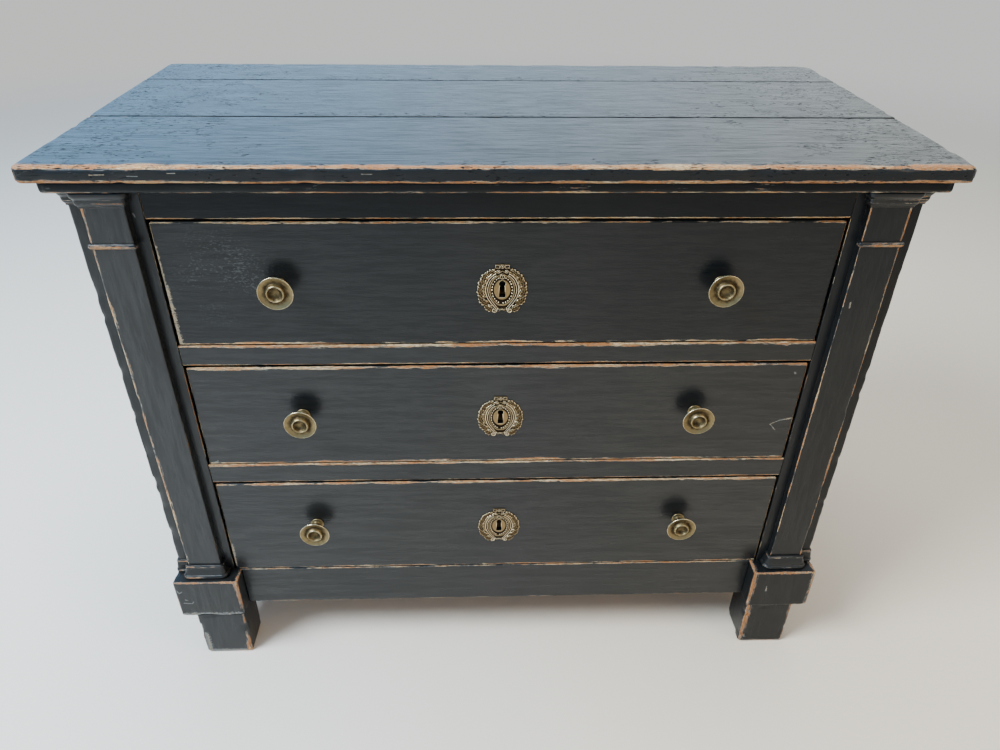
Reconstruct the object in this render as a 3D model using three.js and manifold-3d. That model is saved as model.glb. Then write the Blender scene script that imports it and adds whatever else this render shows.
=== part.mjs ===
// A painted commode chest with three drawers, in millimetres, +Z up, its front towards -Y.
// While the pieces are laid out, the front faces of the rails lie at Y = 0 and the floor at Z = 0.
// The finished group is then moved so that its origin is under the middle of the whole chest.
import * as THREE from 'three';
import Module from 'manifold-3d';
import { mergeVertices } from 'three/addons/utils/BufferGeometryUtils.js';

// Case
const caseWidth = 960;
const caseDepth = 468;
const footHeight = 90;
const plinthHeight = 73;
const lowerOpening = 173;
const lowerRailHeight = 32;
const middleOpening = 161;
const upperRailHeight = 29;
const upperOpening = 165;
const topRailHeight = 52;
const topRailDepth = 40;
const drawerRailDepth = 60;
const bottomRailDepth = 24;
const postWidth = 80;
const postDepth = 45;
const tenonLength = 20;
const tenonThickness = 10;
const tenonShoulder = 7;
const sideBoardThickness = 24;
const rearFootDepth = 70;
const rearFootSplay = 14;
const backThickness = 15;
const backRaise = 12;
const backGrooveWidth = 4;
const backGrooveDepth = 3;
const bottomBoardThickness = 18;
const boardArris = 1.2;

// Planks of the top
const topThickness = 18;
const topSideOverhang = 31;
const topFrontOverhang = 34;
const topBackOverhang = 7;
const frontPlankDepth = 198;
const middlePlankDepth = 201;
const topEdgeRounding = 5;
const topSeamRounding = 1.6;
const topCornerRadius = 10;

// Cornice board
const corniceHeight = 15;
const corniceFrontProjection = 24;
const corniceSideProjection = 12;
const corniceRounding = 6;

// Pilasters with their crown and base mouldings
const pilasterWidth = 48;
const pilasterReveal = 14;
const pilasterProud = 11;
const neckHeight = 41;
const astragalHeight = 7;
const astragalProjection = 3.5;
const crownHeight = 20;
const crownProjection = 8;
const baseMouldingHeight = 23;
const baseMouldingProjection = 9;
const baseMouldingSideProjection = 5;

// Plinth blocks and front feet
const plinthProud = 26;
const plinthOuterProjection = 6;
const plinthInnerProjection = 10;
const plinthArris = 3;
const footWidth = 72;
const footDepth = 57;
const footFrontSetback = 2;
const footInnerSetback = 3;
const footArris = 3;

// Drawers
const drawerSideClearance = 3;
const drawerTopClearance = 3.5;
const drawerBottomClearance = 1;
const drawerFrontThickness = 24;
const drawerFrontArris = 1.6;
const drawerBackSpace = 23;
const drawerSideThickness = 14;
const drawerSideDrop = 4;
const drawerBackThickness = 13;
const drawerBackDrop = 6;
const drawerBottomThickness = 8;
const drawerGrooveDepth = 6;
const drawerGrooveHeight = 10;
const tailLength = 15;
const tailNeck = 22;
const tailFlare = 4;
const tailMargin = 12;

// Runners of the upper two drawers
const runnerThickness = 20;
const runnerLedge = 24;
const runnerGuideHeight = 16;

// Knobs
const knobDiameter = 42;
const knobProjection = 27;
const upperKnobInset = 134;
const middleKnobInset = 137.5;
const lowerKnobInset = 132.5;
const upperKnobRise = 1;
const middleKnobRise = 3;
const lowerKnobRise = 6;

// Wreath plates and keyholes
const wreathWidth = 61;
const wreathHeight = 56;
const wreathLift = 4.5;
const wreathRelief = 4.2;
const upperWreathDrop = 5.5;
const middleWreathDrop = 2.5;
const lowerWreathDrop = 1.5;
const rosetteRadius = 4.5;
const bowLoopRadius = 3.6;
const bowWireRadius = 1.6;
const bowSpread = 9;
const keyholeDiameter = 8;
const keyholeWaist = 5.4;
const keyholeSkirt = 8.4;
const keyholeLength = 22;

// Locks and their bolts
const lockWidth = 84;
const lockSkirt = 22;
const lockPlateThickness = 2;
const lockCaseThickness = 12;
const lockCaseMargin = 7;
const lockArris = 1;
const boltWidth = 36;
const boltThickness = 5;
const boltHeight = 34;
const boltThrow = 9;

// Clearances and cutting
const fitGap = 0.3;
const cutOverrun = 4;
const weldShare = 0.001;

// Levels and faces worked out from the sizes above
const caseHalf = caseWidth / 2;
const openingHalf = caseHalf - postWidth;
const plinthTop = footHeight + plinthHeight;
const lowerRailBottom = plinthTop + lowerOpening;
const lowerRailTop = lowerRailBottom + lowerRailHeight;
const upperRailBottom = lowerRailTop + middleOpening;
const upperRailTop = upperRailBottom + upperRailHeight;
const topRailBottom = upperRailTop + upperOpening;
const caseTop = topRailBottom + topRailHeight;
const corniceBottom = caseTop - corniceHeight;
const topHalf = caseHalf + topSideOverhang;
const topBack = caseDepth + topBackOverhang;
const plinthFront = -plinthProud;
const pilasterInner = openingHalf + pilasterReveal;
const pilasterMiddle = pilasterInner + pilasterWidth / 2;
const pilasterOuter = pilasterInner + pilasterWidth;
const drawerHalf = openingHalf - drawerSideClearance;
const drawerDepth = caseDepth - backThickness - drawerBackSpace;
const sides = { left: -1, right: 1 };

// Finishes, seen in the photograph
const paint = { color: 0x343b42, roughness: 0.5, metalness: 0 };
const bareWood = { color: 0xb48a5a, roughness: 0.8, metalness: 0 };
const brass = { color: 0xa58645, roughness: 0.38, metalness: 0.9 };
const iron = { color: 0x3b3a38, roughness: 0.6, metalness: 0.8 };

const wasm = await Module();
wasm.setup();

const chest = new THREE.Group();
chest.position.y = (topFrontOverhang - topBack) / 2;

function addPiece(name, geometry, finish) {
  const piece = new THREE.Mesh(geometry, new THREE.MeshStandardMaterial(finish));
  piece.name = name;
  chest.add(piece);
}

// Boolean work on closed geometries
function toSolid(geometry) {
  const plain = geometry.clone();
  plain.deleteAttribute('normal');
  plain.deleteAttribute('uv');
  const merged = mergeVertices(plain, fitGap * weldShare);
  const vertProperties = Float32Array.from(merged.attributes.position.array);
  const triVerts = Uint32Array.from(merged.index.array);
  return new wasm.Manifold(new wasm.Mesh({ numProp: 3, vertProperties, triVerts }));
}

function toGeometry(solid) {
  const mesh = solid.getMesh();
  const geometry = new THREE.BufferGeometry();
  geometry.setAttribute('position', new THREE.BufferAttribute(Float32Array.from(mesh.vertProperties), 3));
  geometry.setIndex(Array.from(mesh.triVerts));
  return geometry;
}

function join(first, ...others) {
  return toGeometry(others.reduce((solid, other) => solid.add(toSolid(other)), toSolid(first)));
}

function cut(first, ...others) {
  return toGeometry(others.reduce((solid, other) => solid.subtract(toSolid(other)), toSolid(first)));
}

function keepCommon(first, ...others) {
  return toGeometry(others.reduce((solid, other) => solid.intersect(toSolid(other)), toSolid(first)));
}

// Outlines in the plane, extruded along one axis between two places
function outline(points) {
  return new THREE.Shape(points.map(([u, v]) => new THREE.Vector2(u, v)));
}

function straight(shape, depth) {
  return new THREE.ExtrudeGeometry(shape, { depth, bevelEnabled: false });
}

// The outline lies in YZ and runs along X
function alongX(shape, from, to) {
  const turn = new THREE.Matrix4().makeBasis(
    new THREE.Vector3(0, 1, 0), new THREE.Vector3(0, 0, 1), new THREE.Vector3(1, 0, 0));
  return straight(shape, to - from).applyMatrix4(turn).translate(from, 0, 0);
}

// The outline lies in XZ and runs along Y
function alongY(shape, from, to) {
  const turn = new THREE.Matrix4().makeBasis(
    new THREE.Vector3(1, 0, 0), new THREE.Vector3(0, 0, 1), new THREE.Vector3(0, -1, 0));
  return straight(shape, to - from).applyMatrix4(turn).translate(0, to, 0);
}

// The outline lies in XY and runs along Z
function alongZ(shape, from, to) {
  return straight(shape, to - from).translate(0, 0, from);
}

function box([left, right], [front, back], [bottom, top]) {
  return new THREE.BoxGeometry(right - left, back - front, top - bottom)
    .translate((left + right) / 2, (front + back) / 2, (bottom + top) / 2);
}

// A board with all its arrises eased by a flat chamfer
function easedBoard([left, right], [front, back], [bottom, top], arris) {
  const corners = outline([
    [left + arris, front], [right - arris, front], [right, front + arris], [right, back - arris],
    [right - arris, back], [left + arris, back], [left, back - arris], [left, front + arris],
  ]);
  const options = {
    depth: top - bottom - 2 * arris,
    bevelThickness: arris,
    bevelSize: arris,
    bevelOffset: -arris,
    bevelSegments: 1,
  };
  return new THREE.ExtrudeGeometry(corners, options).translate(0, 0, bottom + arris);
}

// A range on the left or right side of the chest, from its distances to the middle
function mirrored(sign, inner, outer) {
  return sign > 0 ? [inner, outer] : [-outer, -inner];
}

// A rectangle whose corners are rounded, each by its own radius, from the lower left one anticlockwise
function roundedRectangle([left, right], [bottom, top], radii) {
  const centres = [
    [left + radii[0], bottom + radii[0]], [right - radii[1], bottom + radii[1]],
    [right - radii[2], top - radii[2]], [left + radii[3], top - radii[3]],
  ];
  const steps = 4;
  const points = [];
  centres.forEach(([u, v], corner) => {
    for (let step = 0; step <= steps; step += 1) {
      const angle = Math.PI * (1 + corner / 2 + step / steps / 2);
      points.push([u + radii[corner] * Math.cos(angle), v + radii[corner] * Math.sin(angle)]);
    }
  });
  return outline(points);
}

// Top: three planks, rounded at the outer edges, with softly rounded seams between them
function topPlank(name, front, back, frontRounding, backRounding, frontCorner, backCorner) {
  const across = [-topHalf, topHalf];
  const height = [caseTop, caseTop + topThickness];
  const section = roundedRectangle([front, back], height,
    [frontRounding, backRounding, backRounding, frontRounding]);
  const elevation = roundedRectangle(across, height, Array(4).fill(topEdgeRounding));
  const plan = roundedRectangle(across, [front, back], [frontCorner, frontCorner, backCorner, backCorner]);
  addPiece(name, keepCommon(
    alongX(section, -topHalf - cutOverrun, topHalf + cutOverrun),
    alongY(elevation, front - cutOverrun, back + cutOverrun),
    alongZ(plan, caseTop - cutOverrun, caseTop + topThickness + cutOverrun)), paint);
}

function buildTop() {
  const front = -topFrontOverhang;
  const firstSeam = front + frontPlankDepth;
  const secondSeam = firstSeam + middlePlankDepth;
  topPlank('top_plank_front', front, firstSeam - fitGap, topEdgeRounding, topSeamRounding,
    topCornerRadius, topSeamRounding);
  topPlank('top_plank_middle', firstSeam, secondSeam - fitGap, topSeamRounding, topSeamRounding,
    topSeamRounding, topSeamRounding);
  topPlank('top_plank_back', secondSeam, topBack, topSeamRounding, topSeamRounding,
    topSeamRounding, topCornerRadius);
}

// A moulding carried through stations: each station places the profile's points [out, height] in the plan
function carried(profile, stations) {
  const vertices = [];
  const triangles = [];
  const count = profile.length;
  stations.forEach((place) => {
    profile.forEach(([out, height]) => {
      const [x, y] = place(out);
      vertices.push(x, y, height);
    });
  });
  for (let station = 0; station + 1 < stations.length; station += 1) {
    for (let point = 0; point < count; point += 1) {
      const a = station * count + point;
      const b = station * count + (point + 1) % count;
      triangles.push(a, b + count, b, a, a + count, b + count);
    }
  }
  const flat = profile.map(([out, height]) => new THREE.Vector2(out, height));
  const last = (stations.length - 1) * count;
  THREE.ShapeUtils.triangulateShape(flat, []).forEach(([a, b, c]) => {
    triangles.push(a, b, c, last + c, last + b, last + a);
  });
  const geometry = new THREE.BufferGeometry();
  geometry.setAttribute('position', new THREE.Float32BufferAttribute(vertices, 3));
  geometry.setIndex(triangles);
  return geometry;
}

// An arc round a centre, its ends given in turns anticlockwise from the first axis
function arc([u, v], radius, startTurn, endTurn, steps) {
  const points = [];
  for (let step = 0; step <= steps; step += 1) {
    const angle = 2 * Math.PI * THREE.MathUtils.lerp(startTurn, endTurn, step / steps);
    points.push([u + radius * Math.cos(angle), v + radius * Math.sin(angle)]);
  }
  return points;
}

// Cornice board: front piece and two side pieces, mitred, with a rounded lower edge
function buildCornice() {
  const frontProfile = [
    [0, corniceBottom],
    ...arc([corniceFrontProjection - corniceRounding, corniceBottom + corniceRounding],
      corniceRounding, -1 / 4, 0, 4),
    [corniceFrontProjection, caseTop],
    [0, caseTop],
  ];
  const sideShare = corniceSideProjection / corniceFrontProjection;
  const mitre = (sign, gap) => (out) => [sign * (caseHalf + out * sideShare - gap), -out];
  addPiece('cornice_front', carried(frontProfile, [mitre(-1, fitGap), mitre(1, fitGap)]), paint);
  Object.entries(sides).forEach(([side, sign]) => {
    const corner = mitre(sign, 0);
    const end = (out) => [sign * (caseHalf + out * sideShare), caseDepth];
    const stations = sign > 0 ? [corner, end] : [end, corner];
    addPiece(`cornice_${side}`, carried(frontProfile, stations), paint);
  });
}

// A moulding returned round the front and both sides of a pilaster, mitred at its corners
function wrapped(profile, middle) {
  const half = pilasterWidth / 2 + fitGap;
  const front = pilasterProud + fitGap;
  return carried(profile, [
    (out) => [middle - half - out, 0],
    (out) => [middle - half - out, -front - out],
    (out) => [middle + half + out, -front - out],
    (out) => [middle + half + out, 0],
  ]);
}

// A moulding that goes round a pilaster, over the reveal beside it and back along the side of the post. On the
// reveal and the side it projects by its own share.
function returned(profile, sign, sideShare) {
  const inner = pilasterInner - fitGap;
  const outer = pilasterOuter + fitGap;
  const front = pilasterProud + fitGap;
  const stations = [
    (out) => [sign * (inner - out), 0],
    (out) => [sign * (inner - out), -front - out],
    (out) => [sign * (outer + out), -front - out],
    (out) => [sign * (outer + out), -out * sideShare],
    (out) => [sign * (caseHalf + out * sideShare), -out * sideShare],
    (out) => [sign * (caseHalf + out * sideShare), postDepth],
  ];
  return carried(profile, sign > 0 ? stations : stations.reverse());
}

// Crown moulding: fillet, ovolo, step and cavetto, in shares of its projection and height from the top down
const crownProfileShares = [
  [0, 1], [0, 0], [0.1, 0], [0.16, 0.13], [0.38, 0.2], [0.5, 0.34],
  [0.55, 0.48], [0.55, 0.56], [0.78, 0.62], [0.92, 0.72], [1, 0.84], [1, 1],
];

// Base moulding: bead at the foot, cavetto above it, small fillet at the top
const baseProfileShares = [
  [0, 1], [0, 0], [0.9, 0], [1, 0.08], [1, 0.2], [0.88, 0.28], [0.7, 0.3],
  [0.66, 0.42], [0.55, 0.58], [0.44, 0.74], [0.4, 0.8], [0.4, 0.9], [0.3, 1],
];

function scaledProfile(shares, projection, bottom, height) {
  return shares.map(([out, up]) => [projection * out, bottom + height * up]);
}

function buildPilaster(side, sign) {
  const middle = sign * pilasterMiddle;
  const across = mirrored(sign, pilasterInner, pilasterOuter);
  const board = easedBoard(across, [-pilasterProud, 0], [plinthTop, corniceBottom], boardArris);
  const beadMiddle = corniceBottom - crownHeight - neckHeight - astragalHeight / 2;
  const beadRadius = astragalHeight / 2;
  const inside = -fitGap - boardArris;
  const beadProfile = [
    [inside, beadMiddle - beadRadius],
    ...arc([astragalProjection - beadRadius - fitGap, beadMiddle], beadRadius, -1 / 4, 1 / 4, 6),
    [inside, beadMiddle + beadRadius],
  ];
  addPiece(`pilaster_${side}`, join(board, wrapped(beadProfile, middle)), paint);
  const crown = scaledProfile(crownProfileShares, crownProjection, corniceBottom - crownHeight, crownHeight);
  addPiece(`crown_moulding_${side}`, returned(crown, sign, 1), paint);
  const base = scaledProfile(baseProfileShares, baseMouldingProjection, plinthTop, baseMouldingHeight);
  const baseSideShare = baseMouldingSideProjection / baseMouldingProjection;
  addPiece(`base_moulding_${side}`, returned(base, sign, baseSideShare), paint);
}

// Plinth block with the square foot below it
function buildPlinth(side, sign) {
  const inner = openingHalf - plinthInnerProjection;
  const outer = caseHalf + plinthOuterProjection;
  const across = mirrored(sign, inner, outer);
  addPiece(`plinth_${side}`,
    easedBoard(across, [plinthFront, postDepth], [footHeight, plinthTop], plinthArris), paint);
  const footInner = inner + footInnerSetback;
  const footFront = plinthFront + footFrontSetback;
  addPiece(`foot_${side}`,
    easedBoard(mirrored(sign, footInner, footInner + footWidth), [footFront, footFront + footDepth],
      [0, footHeight], footArris), paint);
}

// The rails between the posts: height and depth of each, for the rails and for their mortises
const rails = {
  top_rail: { bottom: topRailBottom, top: caseTop, depth: topRailDepth },
  drawer_rail_upper: { bottom: upperRailBottom, top: upperRailTop, depth: drawerRailDepth },
  drawer_rail_lower: { bottom: lowerRailBottom, top: lowerRailTop, depth: drawerRailDepth },
};

function railTenon({ bottom, top, depth }, sign, gap) {
  const middle = Math.min(depth, postDepth) / 2;
  return box(
    mirrored(sign, openingHalf - cutOverrun, openingHalf + tenonLength + gap),
    [middle - tenonThickness / 2 - gap, middle + tenonThickness / 2 + gap],
    [bottom + tenonShoulder - gap, top - tenonShoulder + gap]);
}

const boltFront = drawerFrontThickness + (lockCaseThickness + lockPlateThickness - boltThickness) / 2;

function boltSpace(bottom, top, gap) {
  return box([-boltWidth / 2 - gap, boltWidth / 2 + gap],
    [boltFront - gap, boltFront + boltThickness + gap], [bottom, top]);
}

function buildRails() {
  Object.entries(rails).forEach(([name, rail]) => {
    const bar = easedBoard([-openingHalf, openingHalf], [0, rail.depth], [rail.bottom, rail.top], boardArris);
    const tenoned = join(bar, railTenon(rail, -1, 0), railTenon(rail, 1, 0));
    const mortiseTop = rail.bottom - drawerTopClearance + boltThrow + fitGap;
    addPiece(name, cut(tenoned, boltSpace(rail.bottom - cutOverrun, mortiseTop, fitGap)), paint);
  });
  const reach = openingHalf - plinthInnerProjection;
  addPiece('bottom_rail',
    easedBoard([-reach, reach], [0, bottomRailDepth], [footHeight, plinthTop], boardArris), paint);
}

function buildPost(side, sign) {
  const across = mirrored(sign, openingHalf, caseHalf);
  const post = easedBoard(across, [0, postDepth], [plinthTop, caseTop], boardArris);
  const mortises = Object.values(rails).map((rail) => railTenon(rail, sign, fitGap));
  addPiece(`post_${side}`, cut(post, ...mortises), paint);
}

// Side board: level with the plinths at the front, down to the floor as the rear foot at the back
function buildSideBoard(side, sign) {
  const rearFoot = caseDepth - rearFootDepth;
  const silhouette = outline([
    [postDepth, footHeight], [rearFoot - rearFootSplay, footHeight], [rearFoot, 0],
    [caseDepth, 0], [caseDepth, caseTop], [postDepth, caseTop],
  ]);
  const [left, right] = mirrored(sign, caseHalf - sideBoardThickness, caseHalf);
  addPiece(`side_board_${side}`, alongX(silhouette, left, right), paint);
}

// Back panel: three boards glued edge to edge, the seams left as V grooves
function buildBack() {
  const half = caseHalf - sideBoardThickness;
  const bottom = footHeight + backRaise;
  const boards = 3;
  const depth = [caseDepth - backThickness, caseDepth];
  const panel = easedBoard([-half, half], depth, [bottom, caseTop], boardArris);
  const grooves = [];
  for (let seam = 1; seam < boards; seam += 1) {
    const height = bottom + (caseTop - bottom) * seam / boards;
    grooves.push(alongX(outline([
      [caseDepth - backGrooveDepth, height], [caseDepth + fitGap, height - backGrooveWidth / 2],
      [caseDepth + fitGap, height + backGrooveWidth / 2],
    ]), -half - cutOverrun, half + cutOverrun));
  }
  addPiece('back_panel', cut(panel, ...grooves), bareWood);
}

// Runners: the drawer's side rides on the ledge, and the raised part outside it guides the drawer
function buildRunner(level, top, side, sign) {
  const outer = caseHalf - sideBoardThickness;
  const inner = openingHalf - runnerLedge;
  const profile = outline([
    [sign * inner, top - runnerThickness], [sign * outer, top - runnerThickness],
    [sign * outer, top + runnerGuideHeight], [sign * openingHalf, top + runnerGuideHeight],
    [sign * openingHalf, top], [sign * inner, top],
  ]);
  const notch = box(mirrored(sign, inner - cutOverrun, openingHalf + fitGap),
    [postDepth - cutOverrun, drawerRailDepth], [top - runnerThickness - cutOverrun, top + cutOverrun]);
  const strip = alongY(profile, postDepth, caseDepth - backThickness);
  addPiece(`runner_${level}_${side}`, cut(strip, notch), bareWood);
}

// Bottom board: it lies behind the bottom rail, notched round both plinth blocks
function buildBottomBoard() {
  const half = caseHalf - sideBoardThickness;
  const narrow = openingHalf - plinthInnerProjection;
  const back = caseDepth - backThickness;
  const plan = outline([
    [-narrow, bottomRailDepth], [narrow, bottomRailDepth], [narrow, postDepth], [half, postDepth],
    [half, back], [-half, back], [-half, postDepth], [-narrow, postDepth],
  ]);
  addPiece('bottom_board', alongZ(plan, plinthTop - bottomBoardThickness, plinthTop), bareWood);
}

// Dovetails of a drawer side, at its front and back ends, each flaring towards its tip
function tailHeights(bottom, top) {
  const count = 3;
  const first = bottom + tailMargin + tailNeck / 2;
  const last = top - tailMargin - tailNeck / 2;
  return Array.from({ length: count }, (unused, index) => (
    THREE.MathUtils.lerp(first, last, index / (count - 1))));
}

function tails(across, heights, root, tip, gap, beyond = 0) {
  const direction = Math.sign(tip - root);
  const start = root - direction * cutOverrun;
  const end = tip + direction * (gap + beyond);
  const slope = tailFlare / Math.abs(tip - root);
  const half = (place) => tailNeck / 2 + gap + slope * (place - root) * direction;
  return heights.map((height) => {
    const points = [
      [start, height - half(start)], [end, height - half(end)],
      [end, height + half(end)], [start, height + half(start)],
    ];
    return alongX(outline(direction > 0 ? points : points.reverse()), across[0], across[1]);
  });
}

// Keyhole in XZ round the middle of its whole height: a round head, and below it a slot that flares to its foot
function keyholeShape(middle) {
  const radius = keyholeDiameter / 2;
  const headCentre = middle + keyholeLength / 2 - radius;
  const lean = Math.asin(keyholeWaist / 2 / radius) / (2 * Math.PI);
  const head = arc([0, headCentre], radius, -1 / 4 + lean, 3 / 4 - lean, 14);
  const foot = middle - keyholeLength / 2;
  return outline([[-keyholeSkirt / 2, foot], [keyholeSkirt / 2, foot], ...head]);
}

// Wreath plate: rings in shares of the half width and half height, with the relief on each. From the middle
// out they are the flat field, the bead ring, the raised frame and the leaves, which are waves of the rim.
const wreathRingShares = [
  [0.36, 0.46, 0.3], [0.43, 0.56, 0.62], [0.5, 0.64, 0.3], [0.56, 0.72, 0.62], [0.64, 0.8, 0.34],
  [0.8, 0.88, 0.95], [0.93, 0.95, 0.8], [1, 1, 0.34],
];
const leafRimShare = 0.045;
const leafReliefShare = 0.16;
const leafCount = 14;
const leafRings = 3;

function wreathRing(share, steps, leafy) {
  const [across, up, relief] = share;
  return Array.from({ length: steps }, (unused, step) => {
    const angle = 2 * Math.PI * step / steps;
    const wave = leafy ? Math.cos(leafCount * angle) : 0;
    const reach = 1 + leafRimShare * wave;
    return [
      wreathWidth / 2 * across * reach * Math.cos(angle),
      wreathHeight / 2 * up * reach * Math.sin(angle),
      wreathRelief * relief * (leafy ? 1 - leafReliefShare * (1 - wave) : 1),
    ];
  });
}

function wreathBody() {
  const steps = leafCount * 3;
  const count = wreathRingShares.length;
  const rings = wreathRingShares.map((share, index) => wreathRing(share, steps, index >= count - leafRings));
  const back = rings[count - 1].map(([x, y]) => [x, y, 0]);
  const vertices = [...rings, back].flat();
  const faceCentre = vertices.push([0, 0, rings[0][0][2]]) - 1;
  const backCentre = vertices.push([0, 0, 0]) - 1;
  const triangles = [];
  for (let step = 0; step < steps; step += 1) {
    const next = (step + 1) % steps;
    triangles.push(faceCentre, step, next, backCentre, count * steps + next, count * steps + step);
    for (let low = 0; low < count * steps; low += steps) {
      const high = low + steps;
      triangles.push(low + step, high + step, high + next, low + step, high + next, low + next);
    }
  }
  const geometry = new THREE.BufferGeometry();
  geometry.setAttribute('position', new THREE.Float32BufferAttribute(vertices.flat(), 3));
  geometry.setIndex(triangles);
  return geometry;
}

// The wreath with the rosette at its head and the bow's two loops at its foot, cut flat at the back
function wreathPlate() {
  const low = wreathLift - wreathHeight / 2;
  const high = wreathLift + wreathHeight / 2;
  const loops = Object.values(sides).map((sign) => new THREE.TorusGeometry(bowLoopRadius, bowWireRadius, 6, 14)
    .translate(sign * bowSpread, low - bowLoopRadius, bowWireRadius));
  const knot = new THREE.SphereGeometry(1, 12, 8)
    .scale(bowSpread, bowLoopRadius, wreathRelief)
    .translate(0, low, 0);
  const rosette = new THREE.SphereGeometry(rosetteRadius, 12, 8)
    .translate(0, high - rosetteRadius / 2, 0);
  const room = wreathWidth + wreathHeight;
  const behind = box([-room, room], [-room, room], [-room, 0]);
  return cut(join(wreathBody().translate(0, wreathLift, 0), rosette, knot, ...loops), behind);
}

// A shape drawn in XY with +Z out is stood up in the front plane of the drawers, facing -Y
function stoodUp(geometry, height) {
  return geometry.rotateX(Math.PI / 2).translate(0, 0, height);
}

// Knob profile from its foot to the middle of its face, in shares of the radius and of the projection:
// rose, neck, back of the disc, rim, hollowed flange, raised ring and dished middle
const knobProfileShares = [
  [0, 0], [0.45, 0], [0.45, 0.06], [0.3, 0.13], [0.24, 0.25], [0.24, 0.52], [0.4, 0.68], [0.9, 0.78],
  [1, 0.82], [1, 0.88], [0.95, 0.92], [0.8, 0.87], [0.64, 0.83], [0.56, 0.9], [0.47, 1],
  [0.4, 0.97], [0.3, 0.88], [0, 0.84],
];
const knobSides = 24;

function knobGeometry() {
  const profile = knobProfileShares.map(([radius, out]) => (
    new THREE.Vector2(knobDiameter / 2 * radius, knobProjection * out)));
  return new THREE.LatheGeometry(profile, knobSides).rotateX(Math.PI);
}

function buildDrawer(level, bottom, openingHeight, knobInset, knobRise, wreathDrop) {
  const frontBottom = bottom + drawerBottomClearance;
  const frontTop = bottom + openingHeight - drawerTopClearance;
  const middle = bottom + openingHeight / 2;
  const sideBottom = bottom + fitGap;
  const sideTop = frontTop - drawerSideDrop;
  const grooveBottom = sideBottom + drawerGrooveHeight;
  const grooveTop = grooveBottom + drawerBottomThickness + 2 * fitGap;
  const insideHalf = drawerHalf - drawerSideThickness;
  const backFace = drawerDepth - drawerBackThickness;
  const heights = tailHeights(sideBottom, sideTop);
  const backHeights = heights.filter((height) => height - tailNeck / 2 - tailFlare > grooveTop + tailMargin);
  const tip = drawerFrontThickness - tailLength;
  const panelSpace = (gap) => box(
    [-insideHalf - drawerGrooveDepth + gap, insideHalf + drawerGrooveDepth - gap],
    [drawerFrontThickness - drawerGrooveDepth + gap, drawerDepth + cutOverrun],
    [grooveBottom + gap, grooveTop - gap]);
  const keyhole = middle - wreathDrop;

  const sockets = Object.values(sides).flatMap((sign) => tails(
    mirrored(sign, insideHalf - fitGap, drawerHalf + cutOverrun), heights, drawerFrontThickness, tip, fitGap));
  const frontBoard = easedBoard([-drawerHalf, drawerHalf], [0, drawerFrontThickness], [frontBottom, frontTop],
    drawerFrontArris);
  addPiece(`drawer_${level}_front`, cut(frontBoard, ...sockets, panelSpace(0),
    alongY(keyholeShape(keyhole), -cutOverrun, drawerFrontThickness + cutOverrun)), paint);

  Object.entries(sides).forEach(([side, sign]) => {
    const across = mirrored(sign, insideHalf, drawerHalf);
    const plank = box(across, [drawerFrontThickness, backFace], [sideBottom, sideTop]);
    const fronts = tails(across, heights, drawerFrontThickness, tip, 0);
    const backs = tails(across, backHeights, backFace, drawerDepth, 0);
    addPiece(`drawer_${level}_side_${side}`, cut(join(plank, ...fronts, ...backs), panelSpace(0)), bareWood);
  });

  const backSockets = Object.values(sides).flatMap((sign) => tails(
    mirrored(sign, insideHalf - fitGap, drawerHalf + cutOverrun), backHeights, backFace,
    drawerDepth, fitGap, cutOverrun));
  const backBoard = box([-drawerHalf, drawerHalf], [backFace + fitGap, drawerDepth],
    [grooveTop, sideTop - drawerBackDrop]);
  addPiece(`drawer_${level}_back`, cut(backBoard, ...backSockets), bareWood);

  addPiece(`drawer_${level}_bottom`, box(
    [-insideHalf - drawerGrooveDepth + fitGap, insideHalf + drawerGrooveDepth - fitGap],
    [drawerFrontThickness - drawerGrooveDepth + fitGap, drawerDepth],
    [grooveBottom + fitGap, grooveTop - fitGap]), bareWood);

  Object.entries(sides).forEach(([side, sign]) => {
    addPiece(`knob_${level}_${side}`,
      knobGeometry().translate(sign * (drawerHalf - knobInset), 0, middle + knobRise), brass);
  });

  const plate = stoodUp(wreathPlate(), middle - wreathDrop);
  addPiece(`wreath_plate_${level}`, cut(plate,
    alongY(keyholeShape(keyhole), -wreathRelief - cutOverrun, cutOverrun)), brass);

  buildLock(level, keyhole, frontTop);
}

// Lock on the back of the drawer front: plate, case with a slot for the bolt, and the bolt in it
function buildLock(level, keyhole, top) {
  const bottom = keyhole - keyholeLength / 2 - lockSkirt;
  const inner = drawerFrontThickness;
  const plateBack = inner + lockPlateThickness;
  const plate = box([-lockWidth / 2, lockWidth / 2], [inner, plateBack], [bottom, top]);
  const caseBox = easedBoard([-lockWidth / 2 + lockCaseMargin, lockWidth / 2 - lockCaseMargin],
    [plateBack - fitGap, inner + lockCaseThickness], [bottom + lockCaseMargin, top], lockArris);
  const boltBottom = top - boltHeight;
  addPiece(`lock_${level}`, cut(join(plate, caseBox),
    boltSpace(boltBottom - fitGap, top + cutOverrun, fitGap),
    alongY(keyholeShape(keyhole), inner - cutOverrun, boltFront)), iron);
  addPiece(`lock_bolt_${level}`, boltSpace(boltBottom, top, 0), iron);
}

buildTop();
buildCornice();
buildRails();
buildBack();
buildBottomBoard();
Object.entries(sides).forEach(([side, sign]) => {
  buildPost(side, sign);
  buildPilaster(side, sign);
  buildPlinth(side, sign);
  buildSideBoard(side, sign);
  buildRunner('upper', upperRailTop, side, sign);
  buildRunner('lower', lowerRailTop, side, sign);
});
buildDrawer('upper', upperRailTop, upperOpening, upperKnobInset, upperKnobRise, upperWreathDrop);
buildDrawer('middle', lowerRailTop, middleOpening, middleKnobInset, middleKnobRise, middleWreathDrop);
buildDrawer('lower', plinthTop, lowerOpening, lowerKnobInset, lowerKnobRise, lowerWreathDrop);

export default chest;
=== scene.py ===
import math
import bpy
import numpy as np
from mathutils import Matrix, Vector


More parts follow.
